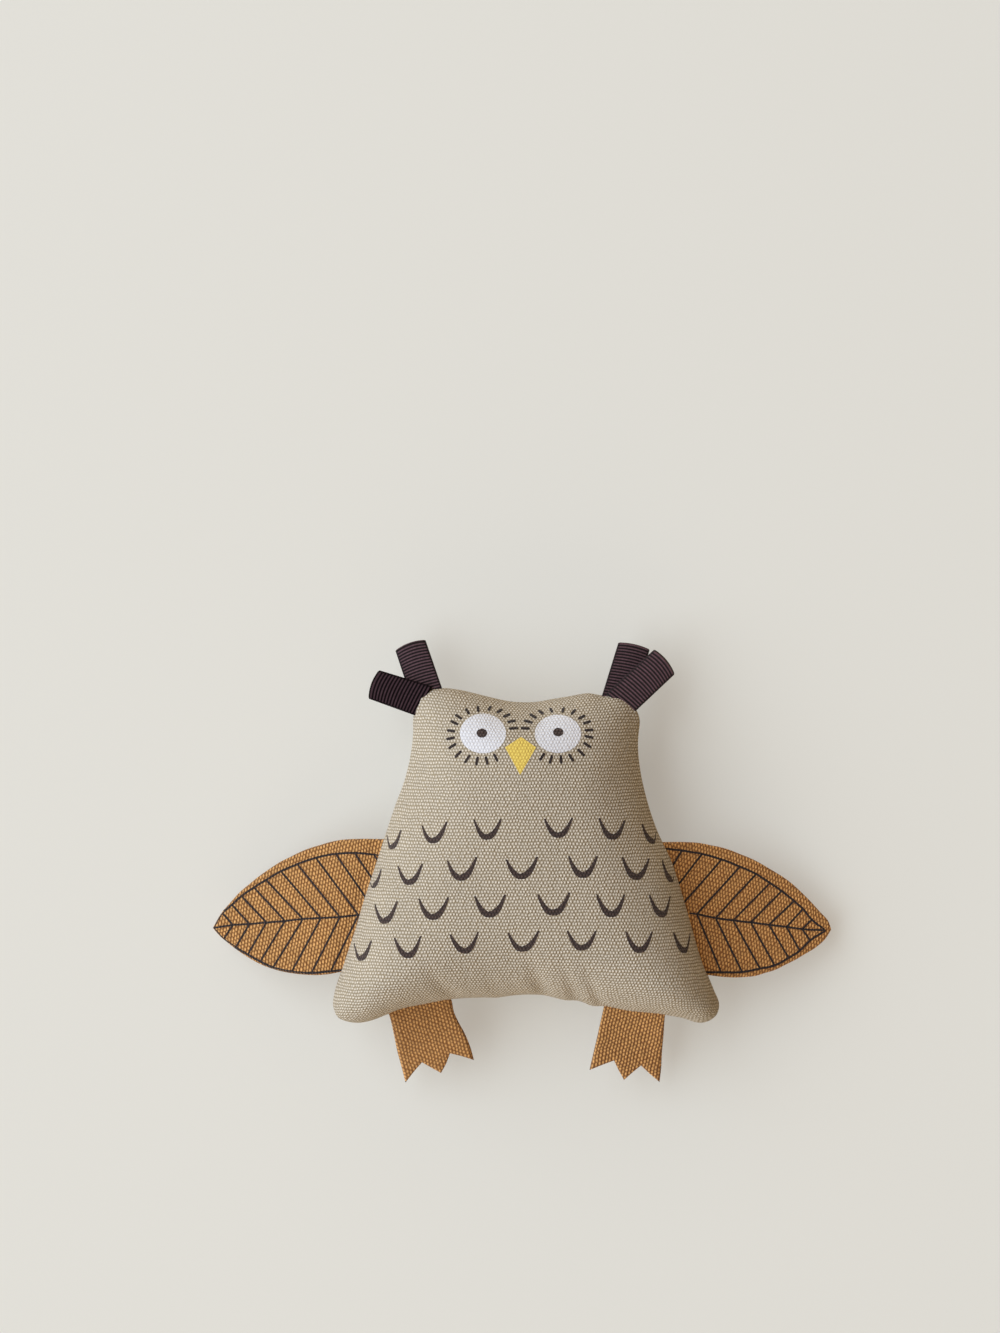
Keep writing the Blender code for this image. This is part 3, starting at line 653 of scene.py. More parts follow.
def matched_rim(grid, target):
    """The grid moved so that its border is the target's, by a shift that is smooth inside."""
    move = target - grid
    return grid + relax(spread(move[0], move[:, -1], move[-1], move[:, 0]), RIM_ROUNDS)


def cloth_places(sheet):
    """Where the points of a bulging grid lie on its flat cloth, counted from its middle column
    and row. A step up a slope is longer than its run by the root of one plus the slope squared,
    and the weave takes up its share of that."""
    places = sheet[..., :2].copy()
    for along in (0, 1):
        lines = sheet.transpose(1, 0, 2) if along else sheet
        step = np.diff(lines, axis=1)
        slope = step[..., 2] / np.linalg.norm(step[..., :2], axis=-1)
        extra = np.cumsum(step[..., along] * (np.sqrt(1 + slope ** 2) - 1), axis=1)
        extra = np.pad(extra, ((0, 0), (1, 0))) * WEAVE_SHARE
        extra -= extra[:, [extra.shape[1] // 2]]
        places[..., along] += extra.T if along else extra
    return places


def body_cushion():
    """The stuffed body: a front and a back grid that share their border, which is the seam."""
    bottom, right, top, left = outline_sides()
    plan_grid = relax(spread(bottom, right, top, left), GRID_ROUNDS)
    rows, columns = plan_grid.shape[:2]
    at = numbered(rows, columns)
    rim = rim_of(at)
    inner = np.setdiff1d(at.ravel(), rim)
    back_of = np.arange(rows * columns)
    back_of[inner] = rows * columns + np.arange(len(inner))
    front = joined(at)
    faces = np.vstack([front, back_of[front][:, ::-1]])
    plan = plan_grid.reshape(-1, 2)
    plan = np.vstack([plan, plan[inner]])
    sign = np.where(np.arange(len(plan)) < rows * columns, 1.0, -1.0)
    sign[rim] = 0
    points = blow_up(plan, faces, rim, sign)

    # The seam goes back to the photographed outline, and the panels follow it smoothly
    shaping = hand_shaping(plan_grid, plan[rim])
    for numbers, bulge, node, facing in ((at, FRONT_BULGE, "body_front_panel", 1),
                                         (back_of[at], BACK_BULGE, "body_back_panel", -1)):
        here = points[numbers]
        place = matched_rim(here[..., :2], plan_grid)
        place = plan_grid + np.stack([calmed(place[..., k] - plan_grid[..., k])
                                      for k in (0, 1)], -1)
        height = here[..., 2] * bulge / np.abs(here[..., 2]).max()

        # The broad shape is the stuffed solid's, and the folds on it are the cloth's
        fuller = solid_heights(node, place, facing) - height
        fuller *= STUFFING_SHARE - place[..., 1] * STUFFING_SLANT
        fuller[[0, -1]] = 0
        fuller[:, [0, -1]] = 0
        height = calmed(height + relax(fuller, STUFFING_ROUNDS)) + facing * shaping
        side = numbers.ravel()[inner]
        points[side, :2] = place.reshape(-1, 2)[inner]
        points[side, 2] = height.ravel()[inner]
    points[rim, :2] = plan[rim]
    points[rim, 2] *= SEAM_WAVE_SHARE

    # The back lies on the table: the height is the root of its square and a small square more
    points[:, 2] += SEAM_HEIGHT
    z = points[:, 2]
    low = z < 4 * FLOOR_SOFTNESS
    points[low, 2] = (z[low] + np.sqrt(z[low] ** 2 + FLOOR_SOFTNESS ** 2)) / 2
    cloth = np.empty((len(points), 2))
    front_cloth = cloth_places(points[at])
    cloth[back_of[at]] = matched_rim(cloth_places(points[back_of[at]]), front_cloth)
    cloth[at] = front_cloth
    cushion = new_piece("body_cushion", points, faces, cloth + WEAVE_ORIGIN)
    normals = read(cushion.data.vertices, "normal", 3)
    filling = new_piece("fibre_filling", points - normals * FILLING_INSET, faces)
    crease = cushion.data.attributes.new("crease_edge", "FLOAT", "EDGE")
    on_rim = np.isin(read(cushion.data.edges, "vertices", 2, int), rim).all(axis=1)
    crease.data.foreach_set("value", on_rim * SEAM_CREASE)
    smooth = cushion.modifiers.new("round", "SUBSURF")
    smooth.levels = smooth.render_levels = 1
    apply_modifiers(cushion)
    cushion.data.shade_smooth()
    return cushion, filling, points[rim]


# Surfaces that ink is printed on

class Printable:
    """A finished piece as triangles, with the place on its cloth at each corner."""

    def __init__(self, obj):
        mesh = obj.data
        mesh.calc_loop_triangles()
        self.points = read(mesh.vertices, "co", 3)
        self.corners = read(mesh.loop_triangles, "vertices", 3, int)
        loops = read(mesh.loop_triangles, "loops", 3, int)
        self.cloth = read(mesh.uv_layers["weave"].data, "uv", 2)[loops]
        self.tree = BVHTree.FromPolygons(self.points.tolist(), self.corners.tolist())

    def cast(self, pixels):
        """Where the camera sees each pixel on the piece: places lifted by the ink's height,
        places on the cloth, and whether the ray met the piece at all."""
        pixels = np.asarray(pixels, float)
        rays = unit((on_seam_plane(pixels) - CAMERA).reshape(-1, 3))
        eye = Vector(CAMERA)
        hits = [self.tree.ray_cast(eye, Vector(ray)) for ray in rays]
        met = np.array([hit[0] is not None for hit in hits])
        place = np.array([hit[0] if hit[0] else (0, 0, 0) for hit in hits], float)
        normal = np.array([hit[1] if hit[0] else (0, 0, 1) for hit in hits], float)
        face = np.array([hit[2] if hit[0] else 0 for hit in hits])
        a, b, c = (self.points[self.corners[face, k]] for k in range(3))
        cross = np.cross(b - a, c - a)
        area = np.einsum("ij,ij->i", cross, cross)
        share_b = np.einsum("ij,ij->i", np.cross(place - a, c - a), cross) / area
        share_c = np.einsum("ij,ij->i", np.cross(b - a, place - a), cross) / area
        shares = np.stack([1 - share_b - share_c, share_b, share_c], -1)
        cloth = np.einsum("ij,ijk->ik", shares, self.cloth[face])
        met &= normal[:, 2] > INK_STEEPEST
        lifted = place + normal * INK_LIFT
        shape = pixels.shape[:-1]
        return lifted.reshape(shape + (3,)), cloth.reshape(shape + (2,)), met.reshape(shape)


def printed(name, surface, patches):
    """Ink on a piece: patches are grids of pixels, and a quad is kept where all its corners
    meet the piece."""
    points, cloth, faces, count = [], [], [], 0
    for patch in patches:
        place, uv, met = surface.cast(patch)
        place, uv, met = place.reshape(-1, 3), uv.reshape(-1, 2), met.ravel()
        numbers = joined(numbered(*patch.shape[:2]))
        numbers = numbers[met[numbers].all(axis=1)]
        edge = np.linalg.norm(place[numbers] - np.roll(place[numbers], 1, axis=1), axis=2)
        numbers = numbers[edge.max(axis=1) < INK_LEAP]
        points.append(place)
        cloth.append(uv)
        faces.append(numbers + count)
        count += len(place)
    points, cloth, faces = np.vstack(points), np.vstack(cloth), np.vstack(faces)
    used, packed = np.unique(faces, return_inverse=True)
    faces = packed.reshape(-1, 4)
    points, cloth = points[used], cloth[used]
    a, b, c = points[faces[:, 0]], points[faces[:, 1]], points[faces[:, 2]]
    down = np.cross(b - a, c - a)[:, 2] < 0
    faces[down] = faces[down][:, ::-1]
    return new_piece(name, points, faces, cloth)


def disc(centre, radii, rings, ragged):
    """A square grid squeezed into an ellipse: each coordinate is shortened by the other's
    square, so the grid's border falls on the rim."""
    u, v = np.meshgrid(np.linspace(-1, 1, rings * 2 + 1), np.linspace(-1, 1, rings * 2 + 1))
    x, y = u * np.sqrt(1 - v ** 2 / 2), v * np.sqrt(1 - u ** 2 / 2)
    wobble = 1 + ragged * rng.uniform(-1, 1, u.shape) * (np.maximum(abs(u), abs(v)) > 0.999)
    return np.stack([centre[0] + radii[0] * x * wobble, centre[1] + radii[1] * y * wobble], -1)


def stroke(line, width, step=1.3, ragged=0.12):
    """A drawn line: its middle line, and half its width to each side along the normal, drawn
    in at the ends as the root of one less a high power."""
    line = np.asarray(line, float)
    count = max(4, int(chord_lengths(line)[-1] / step) + 2)
    middle = smooth_curve(line, count) if len(line) > 2 else even_run(line, count)
    along = unit(np.gradient(middle, axis=0))
    side = np.stack([along[:, 1], -along[:, 0]], -1)
    share = np.linspace(-1, 1, count)
    half = width / 2 * np.sqrt(1 - STROKE_END * share ** 24)
    wobble = rng.uniform(-ragged, ragged, (count, 2))
    return np.stack([middle - side * (half + wobble[:, 0])[:, None], middle,
                     middle + side * (half + wobble[:, 1])[:, None]], 1)


def longer(line, more):
    """A straight line with both ends moved outwards."""
    start, end = np.array(line, float)
    step = unit(end - start) * more
    return np.array([start - step, end + step])


def feather(left, lowest, right, ragged=0.16):
    """A crescent open at the top. Its outer edge rises from the lowest point as the distance
    sideways to the power 2.75; its inner edge starts 0.27 of the height higher, ends 0.12 of
    the width before the tip, and rises as the power 1.8."""
    left, lowest, right = (np.array(point) + shift for point, shift in (
        (left, (-0.6, -0.3)), (lowest, (0, 0.5)), (right, (0.6, -0.3))))
    w = np.sin(np.linspace(-1, 1, 22) * math.pi / 2)[:, None]
    tip = np.where(w < 0, left, right) - lowest
    w = np.abs(w)
    outer = tip * np.concatenate([w, w ** 2.75], 1)
    inner = tip * np.concatenate([0.88 * w, 0.27 + 0.73 * w ** 1.8], 1)
    across = np.linspace(0, 1, 4)[None, :, None]
    edge = rng.uniform(-ragged, ragged, (len(w), 1, 2))
    return lowest + edge + between(outer[:, None], inner[:, None], across)


# Limbs

def limb_axes(joint_name, droop):
    """A limb's own axes at its hinge: out along the limb and down by its droop, along the
    hinge, and up from its face."""
    joint = JOINTS[joint_name]
    hinge = np.array(joint["pos_m"], float)
    along = np.array(joint["axis"], float)
    flat_out = np.array([-along[1], along[0], 0])
    out = flat_out * math.cos(droop) - UP * math.sin(droop)
    up = flat_out * math.sin(droop) + UP * math.cos(droop)
    return hinge, out, along, up


def to_limb(pixels, axes):
    """Pixels as places on the limb's plane, in its own two directions."""
    hinge, out, along, up = axes
    place = on_plane(pixels, hinge, up) - hinge
    return np.stack([place @ out, place @ along], -1)


def limb_sheet(axes, reach, wave, drop=0.0, rise=0.0, twist=0.0):
    """The middle of a limb's cloth, as a function of places on its plane: a slow wave, a quick
    drop beside the hinge and a slow rise to the tip, and a slope across it that grows from the
    hinge. Each place is lifted along the camera's ray, so that the outline stays where the
    photograph has it."""
    hinge, out, along, up = axes

    def at(flat):
        x, y = flat[:, :1], flat[:, 1:]
        lift = wave * np.sin(x / WAVE_ALONG + WAVE_BEND * np.sin(y / WAVE_ACROSS))
        lift = lift * np.clip(x / WAVE_REACH, 0, 1)
        lift = lift + twist * y * np.clip(x / TWIST_REACH, 0, 1)
        outward = np.clip(x, 0, reach)
        lift = lift - drop * rising(outward, DROP_REACH) + rise * (outward / reach) ** RISE_POWER
        place = hinge + x * out + y * along
        rays = CAMERA - place
        return place + rays * lift / (rays @ up)[:, None]
    return at


def turned_canvas(name, grid, outline, sheet, up, plump, grain, lean=0.0):
    """Two layers sewn, turned and pressed: the half thickness rises from the outline as a
    quarter circle, and has a low ridge over the turned allowance. The grain names which of the
    limb's directions the threads' rows follow."""
    rows, columns = grid.shape[:2]
    flat = grid.reshape(-1, 2)
    start, step = outline[:-1], np.diff(outline, axis=0)
    t = np.einsum("ijk,jk->ij", flat[:, None] - start[None], step) / (step ** 2).sum(1)
    nearest = start[None] + np.clip(t, 0, 1)[..., None] * step[None]
    gap = np.linalg.norm(flat[:, None] - nearest, axis=2).min(axis=1)
    gap = gap.reshape(rows, columns)
    gap[[0, -1]] = 0
    gap[:, [0, -1]] = 0
    gap = gap.ravel()
    round_edge = np.sqrt(1 - (1 - np.clip(gap / EDGE_HALF, 0, 1)) ** 2)
    ridge = RIDGE_HEIGHT * bell(gap - RIDGE_PLACE, RIDGE_WIDTH)
    half = round_edge * (EDGE_HALF + ridge + plump * rising(gap, SWELL_EDGE))
    middle = sheet(flat)
    front = middle + half[:, None] * up
    back = middle - half[:, None] * up
    front_faces = joined(numbered(rows, columns))
    faces = np.vstack([front_faces, front_faces[:, ::-1] + rows * columns])
    uv = flat[:, [grain, 1 - grain]] + flat[:, [grain]] * (0, lean)
    uv = np.vstack([uv + WEAVE_ORIGIN, uv + (WEAVE_ORIGIN, WEAVE_ORIGIN + 0.3)])
    return new_piece(name, np.vstack([front, back]), faces, uv, weld=5e-7)


def wing(side):
    """A leaf-shaped wing: rows run from the tip to the body, columns from the lower edge to the
    upper edge, crowded where the edges turn."""
    shape = WINGS[side]
    axes = limb_axes(f"{side}_wing_fold", WING_DROOP)
    reach = np.array([shape["root_reach"], 0])
    upper = shape["upper"] + [tuple(np.array(shape["upper"][-1]) + reach)]
    lower = shape["lower"] + [tuple(np.array(shape["lower"][-1]) + reach)]
    upper = smooth_curve(to_limb(upper, axes), LEAF_STEPS)
    lower = smooth_curve(to_limb(lower, axes), LEAF_STEPS)
    stations = np.linspace(0, 1, LEAF_STATIONS) ** LEAF_CROWDING * (LEAF_STEPS - 1)
    steps = np.arange(LEAF_STEPS)
    low, high = (np.stack([np.interp(stations, steps, edge[:, k]) for k in (0, 1)], -1)
                 for edge in (lower, upper))
    even = np.linspace(0, 1, LEAF_STRIPS)
    strips = (even + (1 - np.cos(math.pi * even)) / 2)[None, :, None] / 2
    grid = between(low[:, None], high[:, None], strips)
    outline = np.vstack([upper[::-5], lower[::5]])
    sheet = limb_sheet(axes, outline[:, 0].max(), WING_WAVE, shape["drop"], shape["rise"])
    cloth = turned_canvas(f"{side}_wing_canvas", grid, outline, sheet, axes[3], WING_PLUMP,
                          grain=1, lean=shape["lean"])

    # The seam's thread runs inside the turned edge, up one side and down the other
    width = np.linalg.norm(high - low, axis=1)
    wide = width > WING_SEAM_LEAST_WIDTH
    share = WING_SEAM_INSET / width[wide][:, None]
    low, high = low[wide], high[wide]
    run = np.vstack([between(low, high, share)[::-1], between(high, low, share)])
    seam = thread_tubes(f"{side}_wing_seam", [sheet(even_run(run, 240))], THREAD_RADIUS)
    starts = shape["midrib"][1:-1]
    veins = [*zip(starts, shape["upper_tips"]), *shape["body_veins"],
             *zip(starts, shape["lower_tips"])]
    lines = [stroke(shape[line], width) for line, width in VEIN_WIDTHS.items()]
    lines += [stroke(vein, SIDE_VEIN_WIDTH) for vein in veins]
    return cloth, seam, printed(f"{side}_wing_veins", Printable(cloth), lines), axes


def foot(side):
    """A foot with three claws: a grid between the body, the two sides and the claws."""
    shape = FEET[side]
    axes = limb_axes(f"{side}_foot_fold", FOOT_DROOP)
    left = smooth_curve(to_limb(shape["left"], axes), 60)
    right = smooth_curve(to_limb(shape["right"], axes), 60)
    claws = to_limb(shape["claws"], axes)
    claws = np.vstack([even_run(claws[k:k + 2], 9)[:-1] for k in range(len(claws) - 1)]
                      + [claws[-1:]])
    root = even_run(np.array([left[0], right[0]]), len(claws))
    grid = spread(root, right, claws, left)
    outline = np.vstack([left, claws[1:], right[::-1][1:]])
    sheet = limb_sheet(axes, outline[:, 0].max(), FOOT_WAVE, twist=shape["twist"])
    cloth = turned_canvas(f"{side}_foot_canvas", grid, outline, sheet, axes[3], FOOT_PLUMP,
                          grain=0)
    return cloth, axes


# Ear ribbons

def ribbon_loop(name):
    """A folded grosgrain loop: out along the top leg, round the fold and back underneath.

    The path is a leg, a half circle and a leg. Each point of the path is set off along its
    normal by half the thickness and a rib, an upright half wave of the distance travelled.
    """
    shape = RIBBONS[name]
    hinge, out, along, up = limb_axes(f"{name}_fold", RIBBON_DROOP[name.split("_")[2]])
    columns = RIBBON_COLUMNS
    t = np.linspace(-1, 1, columns)
    share = ((t + 1) / 2)[:, None]
    root, fold = (between(*np.array(shape[end], float), share) for end in ("root", "fold"))
    outward = unit((fold - root).mean(axis=0))
    top_leg = hinge + up * RIBBON_FOLD_RADIUS
    bowed = on_plane(fold + outward * shape["bulge"] * (1 - t[:, None] ** 2), top_leg, up)
    root, fold = on_plane(root, top_leg, up), on_plane(fold, top_leg, up)
    bow = bowed - fold
    reach = np.linalg.norm(fold - root, axis=1).mean()

    radius = RIBBON_FOLD_RADIUS
    leg = reach - radius - RIBBON_THICKNESS / 2
    length = 2 * leg + math.pi * radius
    travel = np.linspace(0, length, int(length / RIB_PITCH * STEPS_PER_RIB))
    turn = np.clip((travel - leg) / radius, 0, math.pi)
    x = np.minimum(np.minimum(travel, leg), length - travel) + radius * np.sin(turn)
    pinch = PINCH_SHARE * np.clip(1 - x / leg, 0, 1) ** PINCH_POWER
    z = radius * (np.cos(turn) - 1) * (1 - pinch) + (SEAM_HEIGHT - hinge[2]) * pinch
    tangent = unit(np.stack([np.gradient(x, travel), np.gradient(z, travel)], -1))
    normal = np.stack([-tangent[:, 1], tangent[:, 0]], -1)
    rib = np.sqrt(1 - (2 * (travel / RIB_PITCH % 1) - 1) ** 2)
    selvedge = np.clip((np.abs(t) - (1 - SELVEDGE_SHARE)) / SELVEDGE_SHARE, 0, 1)
    bulge = SELVEDGE_WAVE * (rib[:, None] - 0.5) * selvedge[None]
    wide = (t[None] * (1 + bulge) + 1)[..., None] / 2

    def skin(side):
        thick = (RIBBON_THICKNESS / 2 + RIB_HEIGHT * rib[:, None]) * np.sqrt(
            1 - SELVEDGE_THINNING * selvedge[None] ** 2)
        px = x[:, None] + side * normal[:, :1] * thick
        pz = z[:, None] + side * normal[:, 1:] * thick
        pz = pz - RIBBON_CUP * t[None] ** 2 * np.clip(x / leg, 0, 1)[:, None]
        near = between(root[0], root[-1], wide)
        far = between(fold[0], fold[-1], wide) + bow[None]
        return between(near, far, (px / reach)[..., None]) + pz[..., None] * up

    rows = len(travel)
    top, under = numbered(rows, columns), numbered(rows, columns, rows * columns)
    rims = np.stack([rim_of(top), rim_of(under)])
    after = np.roll(rims, -1, axis=1)
    faces = [joined(top), joined(under)[:, ::-1],
             np.stack([rims[0], rims[1], after[1], after[0]], -1)]
    uv = np.stack(np.broadcast_arrays(travel[:, None], (t * RIBBON_HALF_WIDTH)[None]), -1)
    uv = uv + WEAVE_ORIGIN
    points = np.vstack([skin(1).reshape(-1, 3), skin(-1).reshape(-1, 3)])
    loop = new_piece(f"{name}_loop", points, np.vstack(faces),
                     np.vstack([uv.reshape(-1, 2)] * 2), weld=1e-7)
    return loop, (hinge, out, along, up)


# Threads

def thread_tubes(name, lines, radius, closed=False, sides=8):
    """Threads: a circle carried along each line, square to its tangent."""
    points, faces, count = [], [], 0
    angle = np.linspace(0, 2 * math.pi, sides, endpoint=False)[None, :, None]
    for line in lines:
        along = np.roll(line, -1, 0) - np.roll(line, 1, 0) if closed else np.gradient(line, axis=0)
        along = unit(along)
        side = unit(np.cross(along, (0.3, 0.1, 1.0)))
        other = np.cross(side, along)
        ring = side[:, None] * np.cos(angle) + other[:, None] * np.sin(angle)
        points.append((line[:, None] + radius * ring).reshape(-1, 3))
        number = numbered(len(line), sides, count)
        number = np.concatenate([number, number[:, :1]], 1)
        if closed:
            number = np.concatenate([number, number[:1]], 0)
        faces += joined(number).tolist()
        if not closed:
            faces += [number[0, :-1][::-1].tolist(), number[-1, :-1].tolist()]
        count += len(line) * sides
    return new_piece(name, np.vstack(points), faces, weld=0)


def seam_threads(seam):
    """The thread inside the seam, and the small slanted stitches over the closing gap: each
    stitch is half a turn round the seam, from the front panel to the back panel."""
    outward = unit(np.cross(np.roll(seam, -1, 0) - np.roll(seam, 1, 0), UP))
    inside = thread_tubes("seam_stitching", [seam - outward * SEAM_INSET], THREAD_RADIUS,
                          closed=True)
    gap = [column_place(column) for column in CLOSING_GAP_PX]
    low = seam[:, 1] < on_seam_plane(LOW_BODY_PX)[1]
    bottom = np.where(low & (seam[:, 0] > gap[0]) & (seam[:, 0] < gap[1]))[0]
    run = even_run(seam[bottom], CLOSING_STITCHES * STITCH_STEPS)
    edge = unit(np.gradient(run, axis=0))
    out = np.cross(edge, UP)
    share = np.linspace(-1, 1, 9)[:, None]
    turn = share * STITCH_TURN
    stitches = [run[k] + out[k] * (STITCH_REACH * np.cos(turn) - STITCH_INSET)
                + UP * STITCH_HEIGHT * np.sin(turn) + edge[k] * STITCH_SLANT * share
                for k in range(STITCH_STEPS // 2, len(run), STITCH_STEPS)]
    return inside, thread_tubes("closing_stitches", stitches, STITCH_RADIUS)


# Materials

def srgb(r, g, b):
    """A colour written as 0 to 255 on screen, as linear light."""
    values = np.array([r, g, b]) / 255
    linear = np.where(values <= 0.04045, values / 12.92, ((values + 0.055) / 1.055) ** 2.4)
    return (*linear.tolist(), 1.0)


class Shader:
    """A material's node tree, with short ways to add and join nodes."""

    def __init__(self, name, roughness):
        self.material = bpy.data.materials.new(name)
        self.material.use_nodes = True
        self.tree = self.material.node_tree
        self.surface = self.tree.nodes["Principled BSDF"]
        self.surface.inputs["Roughness"].default_value = roughness

    def add(self, kind, inputs=None, **settings):
        node = self.tree.nodes.new(kind)
        for key, value in settings.items():
            setattr(node, key, value)
        for key, value in (inputs or {}).items():
            if isinstance(value, bpy.types.NodeSocket):
                self.tree.links.new(value, node.inputs[key])
            else:
                node.inputs[key].default_value = value
        return node

    def math(self, operation, a, b=0.0, c=0.0):
        return self.add("ShaderNodeMath", {0: a, 1: b, 2: c}, operation=operation).outputs[0]

    def mix(self, share, low, high):
        return self.add("ShaderNodeMix", {0: share, 6: low, 7: high},
                        data_type="RGBA").outputs[2]

    def scaled(self, colour, amount):
        return self.add("ShaderNodeVectorMath", {0: colour, "Scale": amount},
                        operation="SCALE").outputs[0]

    def weave_place(self):
        """A place on the cloth, whole and as its parts."""
        place = self.add("ShaderNodeUVMap", uv_map="weave").outputs[0]
        return place, self.add("ShaderNodeSeparateXYZ", {0: place}).outputs

    def noise(self, place, scale, detail):
        """Smooth noise over the cloth."""
        return self.add("ShaderNodeTexNoise", {"Vector": place, "Scale": scale, "Detail": detail},
                        noise_dimensions="2D").outputs

    def luck(self, column, row):
        """A random value, and a random colour, for each cell."""
        cell = self.add("ShaderNodeCombineXYZ", {0: column, 1: row}).outputs[0]
        return self.add("ShaderNodeTexWhiteNoise", {"Vector": cell},
                        noise_dimensions="2D").outputs

    def smooth_step(self, value, foot, top):
        """0 where the value is the foot's, 1 where it is the top's, a smooth step between."""
        return self.add("ShaderNodeMapRange", {
            "Value": value, "From Min": foot, "From Max": top, "To Min": 0.0, "To Max": 1.0},
            interpolation_type="SMOOTHSTEP").outputs[0]

    def join(self, output, socket):
        self.tree.links.new(output, self.surface.inputs[socket])

    def relief(self, height, distance, strength):
        bump = self.add("ShaderNodeBump", {"Height": height, "Distance": distance,
                                           "Strength": strength})
        self.join(bump.outputs[0], "Normal")

    def gloss(self, sheen, sheen_roughness, specular):
        for socket, value in (("Sheen Weight", sheen), ("Sheen Roughness", sheen_roughness),
                              ("Specular IOR Level", specular)):
            self.surface.inputs[socket].default_value = value


def canvas(name, thread, gap, pitch=(1.0 * MM, 0.985 * MM), bead=(0.56, 0.52), flecks=0.24,
           relief=1.0):
    """Plain-woven canvas: rounded beads in rows, every other row half a bead along. A bead's
    height falls off as a smooth step of the distance from its middle, and each is a little
    lighter or darker and a little off its place. The colour steps from the thread's on each bead
    to the gap's between beads, a dark that is partly painted shade in the hollows, and the
    colour's bead is set off from the relief's, so that a painted shadow lies along one side of
    each bead."""
    shader = Shader(name, 0.9)
    place, axes = shader.weave_place()
    drift = shader.add("ShaderNodeSeparateColor", {
        0: shader.noise(place, DRIFT_SCALE, 1.0)["Color"]}).outputs
    v = shader.math("DIVIDE", axes[1], pitch[1])
    v = shader.math("MULTIPLY_ADD", drift[1], ROW_DRIFT, v)
    row = shader.math("FLOOR", v)
    u = shader.math("DIVIDE", axes[0], pitch[0])
    u = shader.math("MULTIPLY_ADD", drift[0], ROW_DRIFT, u)
    u = shader.math("MULTIPLY_ADD", shader.math("MODULO", row, 2.0), 0.5, u)
    luck = shader.luck(shader.math("FLOOR", u), row)
    chance = luck[0]
    stray = shader.add("ShaderNodeSeparateColor", {0: luck[1]}).outputs
    across, down = (
        shader.math("SUBTRACT", shader.math("MULTIPLY_ADD", stray[k], BEAD_STRAY[k],
                                            shader.math("FRACT", (u, v)[k])), BEAD_MIDDLE[k])
        for k in (0, 1))

    def bead_height(shift):
        x = shader.math("DIVIDE", shader.math("ADD", across, shift), bead[0])
        y = shader.math("DIVIDE", shader.math("SUBTRACT", down, shift), bead[1])
        square = shader.math("ADD", shader.math("MULTIPLY", x, x), shader.math("MULTIPLY", y, y))
        return shader.smooth_step(shader.math("SQRT", square), BEAD_FOOT, BEAD_TOP)

    slow = shader.noise(place, SHADE_SCALE, 2.0)[0]
    shade = shader.math("MULTIPLY_ADD", chance, flecks, 1 - flecks / 2)
    shade = shader.math("MULTIPLY", shade, shader.math(
        "MULTIPLY_ADD", slow, SHADE_DRIFT, 1 - SHADE_DRIFT / 2))
    # The gap's colour, partly painted shade, shows round each shifted bead: a painted shadow along
    # one side of it
    colour = shader.mix(bead_height(BEAD_PAINTED_SHADOW_SHIFT), gap, thread)
    shader.join(shader.scaled(colour, shade), "Base Color")
    fibre = shader.noise(place, FIBRE_SCALE, 2.0)[0]
    height = shader.math("MULTIPLY", bead_height(0.0), shader.math(
        "MULTIPLY_ADD", chance, BEAD_SPREAD, BEAD_LOWEST))
    height = shader.math("MULTIPLY_ADD", fibre, FIBRE_HEIGHT, height)
    shader.relief(height, CANVAS_RELIEF * relief, 1.0)
    shader.gloss(sheen=0.12, sheen_roughness=0.6, specular=0.25)
    return shader.material


def grosgrain(name, painted_light):
    """Ribbed ribbon: dark plum with a painted highlight on each rib's crest and painted shade in
    the grooves, with fine warp threads across the ribs. The painted light factor scales this loop's
    colour, sheen and gloss: painted shade below 1, painted light above 1."""
    shader = Shader(name, 0.62)
    axes = shader.weave_place()[1]
    travel = shader.math("DIVIDE", shader.math("SUBTRACT", axes[0], WEAVE_ORIGIN), RIB_PITCH)
    phase = shader.math("SUBTRACT", shader.math("FRACT", travel), 0.5)
    # Painted highlight on each rib's crest and near black painted shade in the grooves between ribs
    crest_highlight = shader.smooth_step(shader.math("ABSOLUTE", phase), *CREST_HIGHLIGHT_ENDS)
    warp = shader.math("DIVIDE", axes[1], WARP_PITCH)
    wave = shader.math("SINE", shader.math("MULTIPLY", warp, 2 * math.pi))
    chance = shader.luck(shader.math("FLOOR", travel), shader.math("FLOOR", warp))[0]
    # Random darkness per cell, scaled by the painted light factor
    shade = shader.math("MULTIPLY_ADD", chance, 0.35 * painted_light, 0.82 * painted_light)
    edge = shader.math("ABSOLUTE", shader.math("SUBTRACT", axes[1], WEAVE_ORIGIN))
    edge = shader.add("ShaderNodeMapRange", {
        "Value": edge, "From Min": CREST_HIGHLIGHT_FADE[0], "From Max": CREST_HIGHLIGHT_FADE[1], "To Min": 1.0,
        "To Max": 0.3}).outputs[0]
    crest_highlight = shader.math("MULTIPLY", crest_highlight, edge)
    shader.join(shader.scaled(shader.mix(crest_highlight, srgb(17, 8, 11), srgb(93, 68, 75)), shade),
                "Base Color")
    shader.relief(shader.math("MULTIPLY_ADD", wave, 0.5, chance), WARP_RELIEF, 0.7)
    shader.gloss(sheen=0.03 * painted_light ** 2, sheen_roughness=0.45, specular=0.16 * painted_light ** 2)
    return shader.material


def spun(name, light, dark, scale, depth):
    """Thread or fibre: streaky noise between two tones, in colour and in relief."""
    shader = Shader(name, 0.85)
    place = shader.add("ShaderNodeTexCoord").outputs["Object"]
    noise = shader.add("ShaderNodeTexNoise", {"Vector": place, "Scale": scale, "Detail": 4.0,
                                              "Roughness": 0.7})
    shader.join(shader.mix(noise.outputs[0], dark, light), "Base Color")
    shader.relief(noise.outputs[0], depth, 0.8)
    return shader.material


def dress(obj, material):
    """Give a piece its one material."""
    obj.data.materials.clear()
    obj.data.materials.append(material)


# Stage

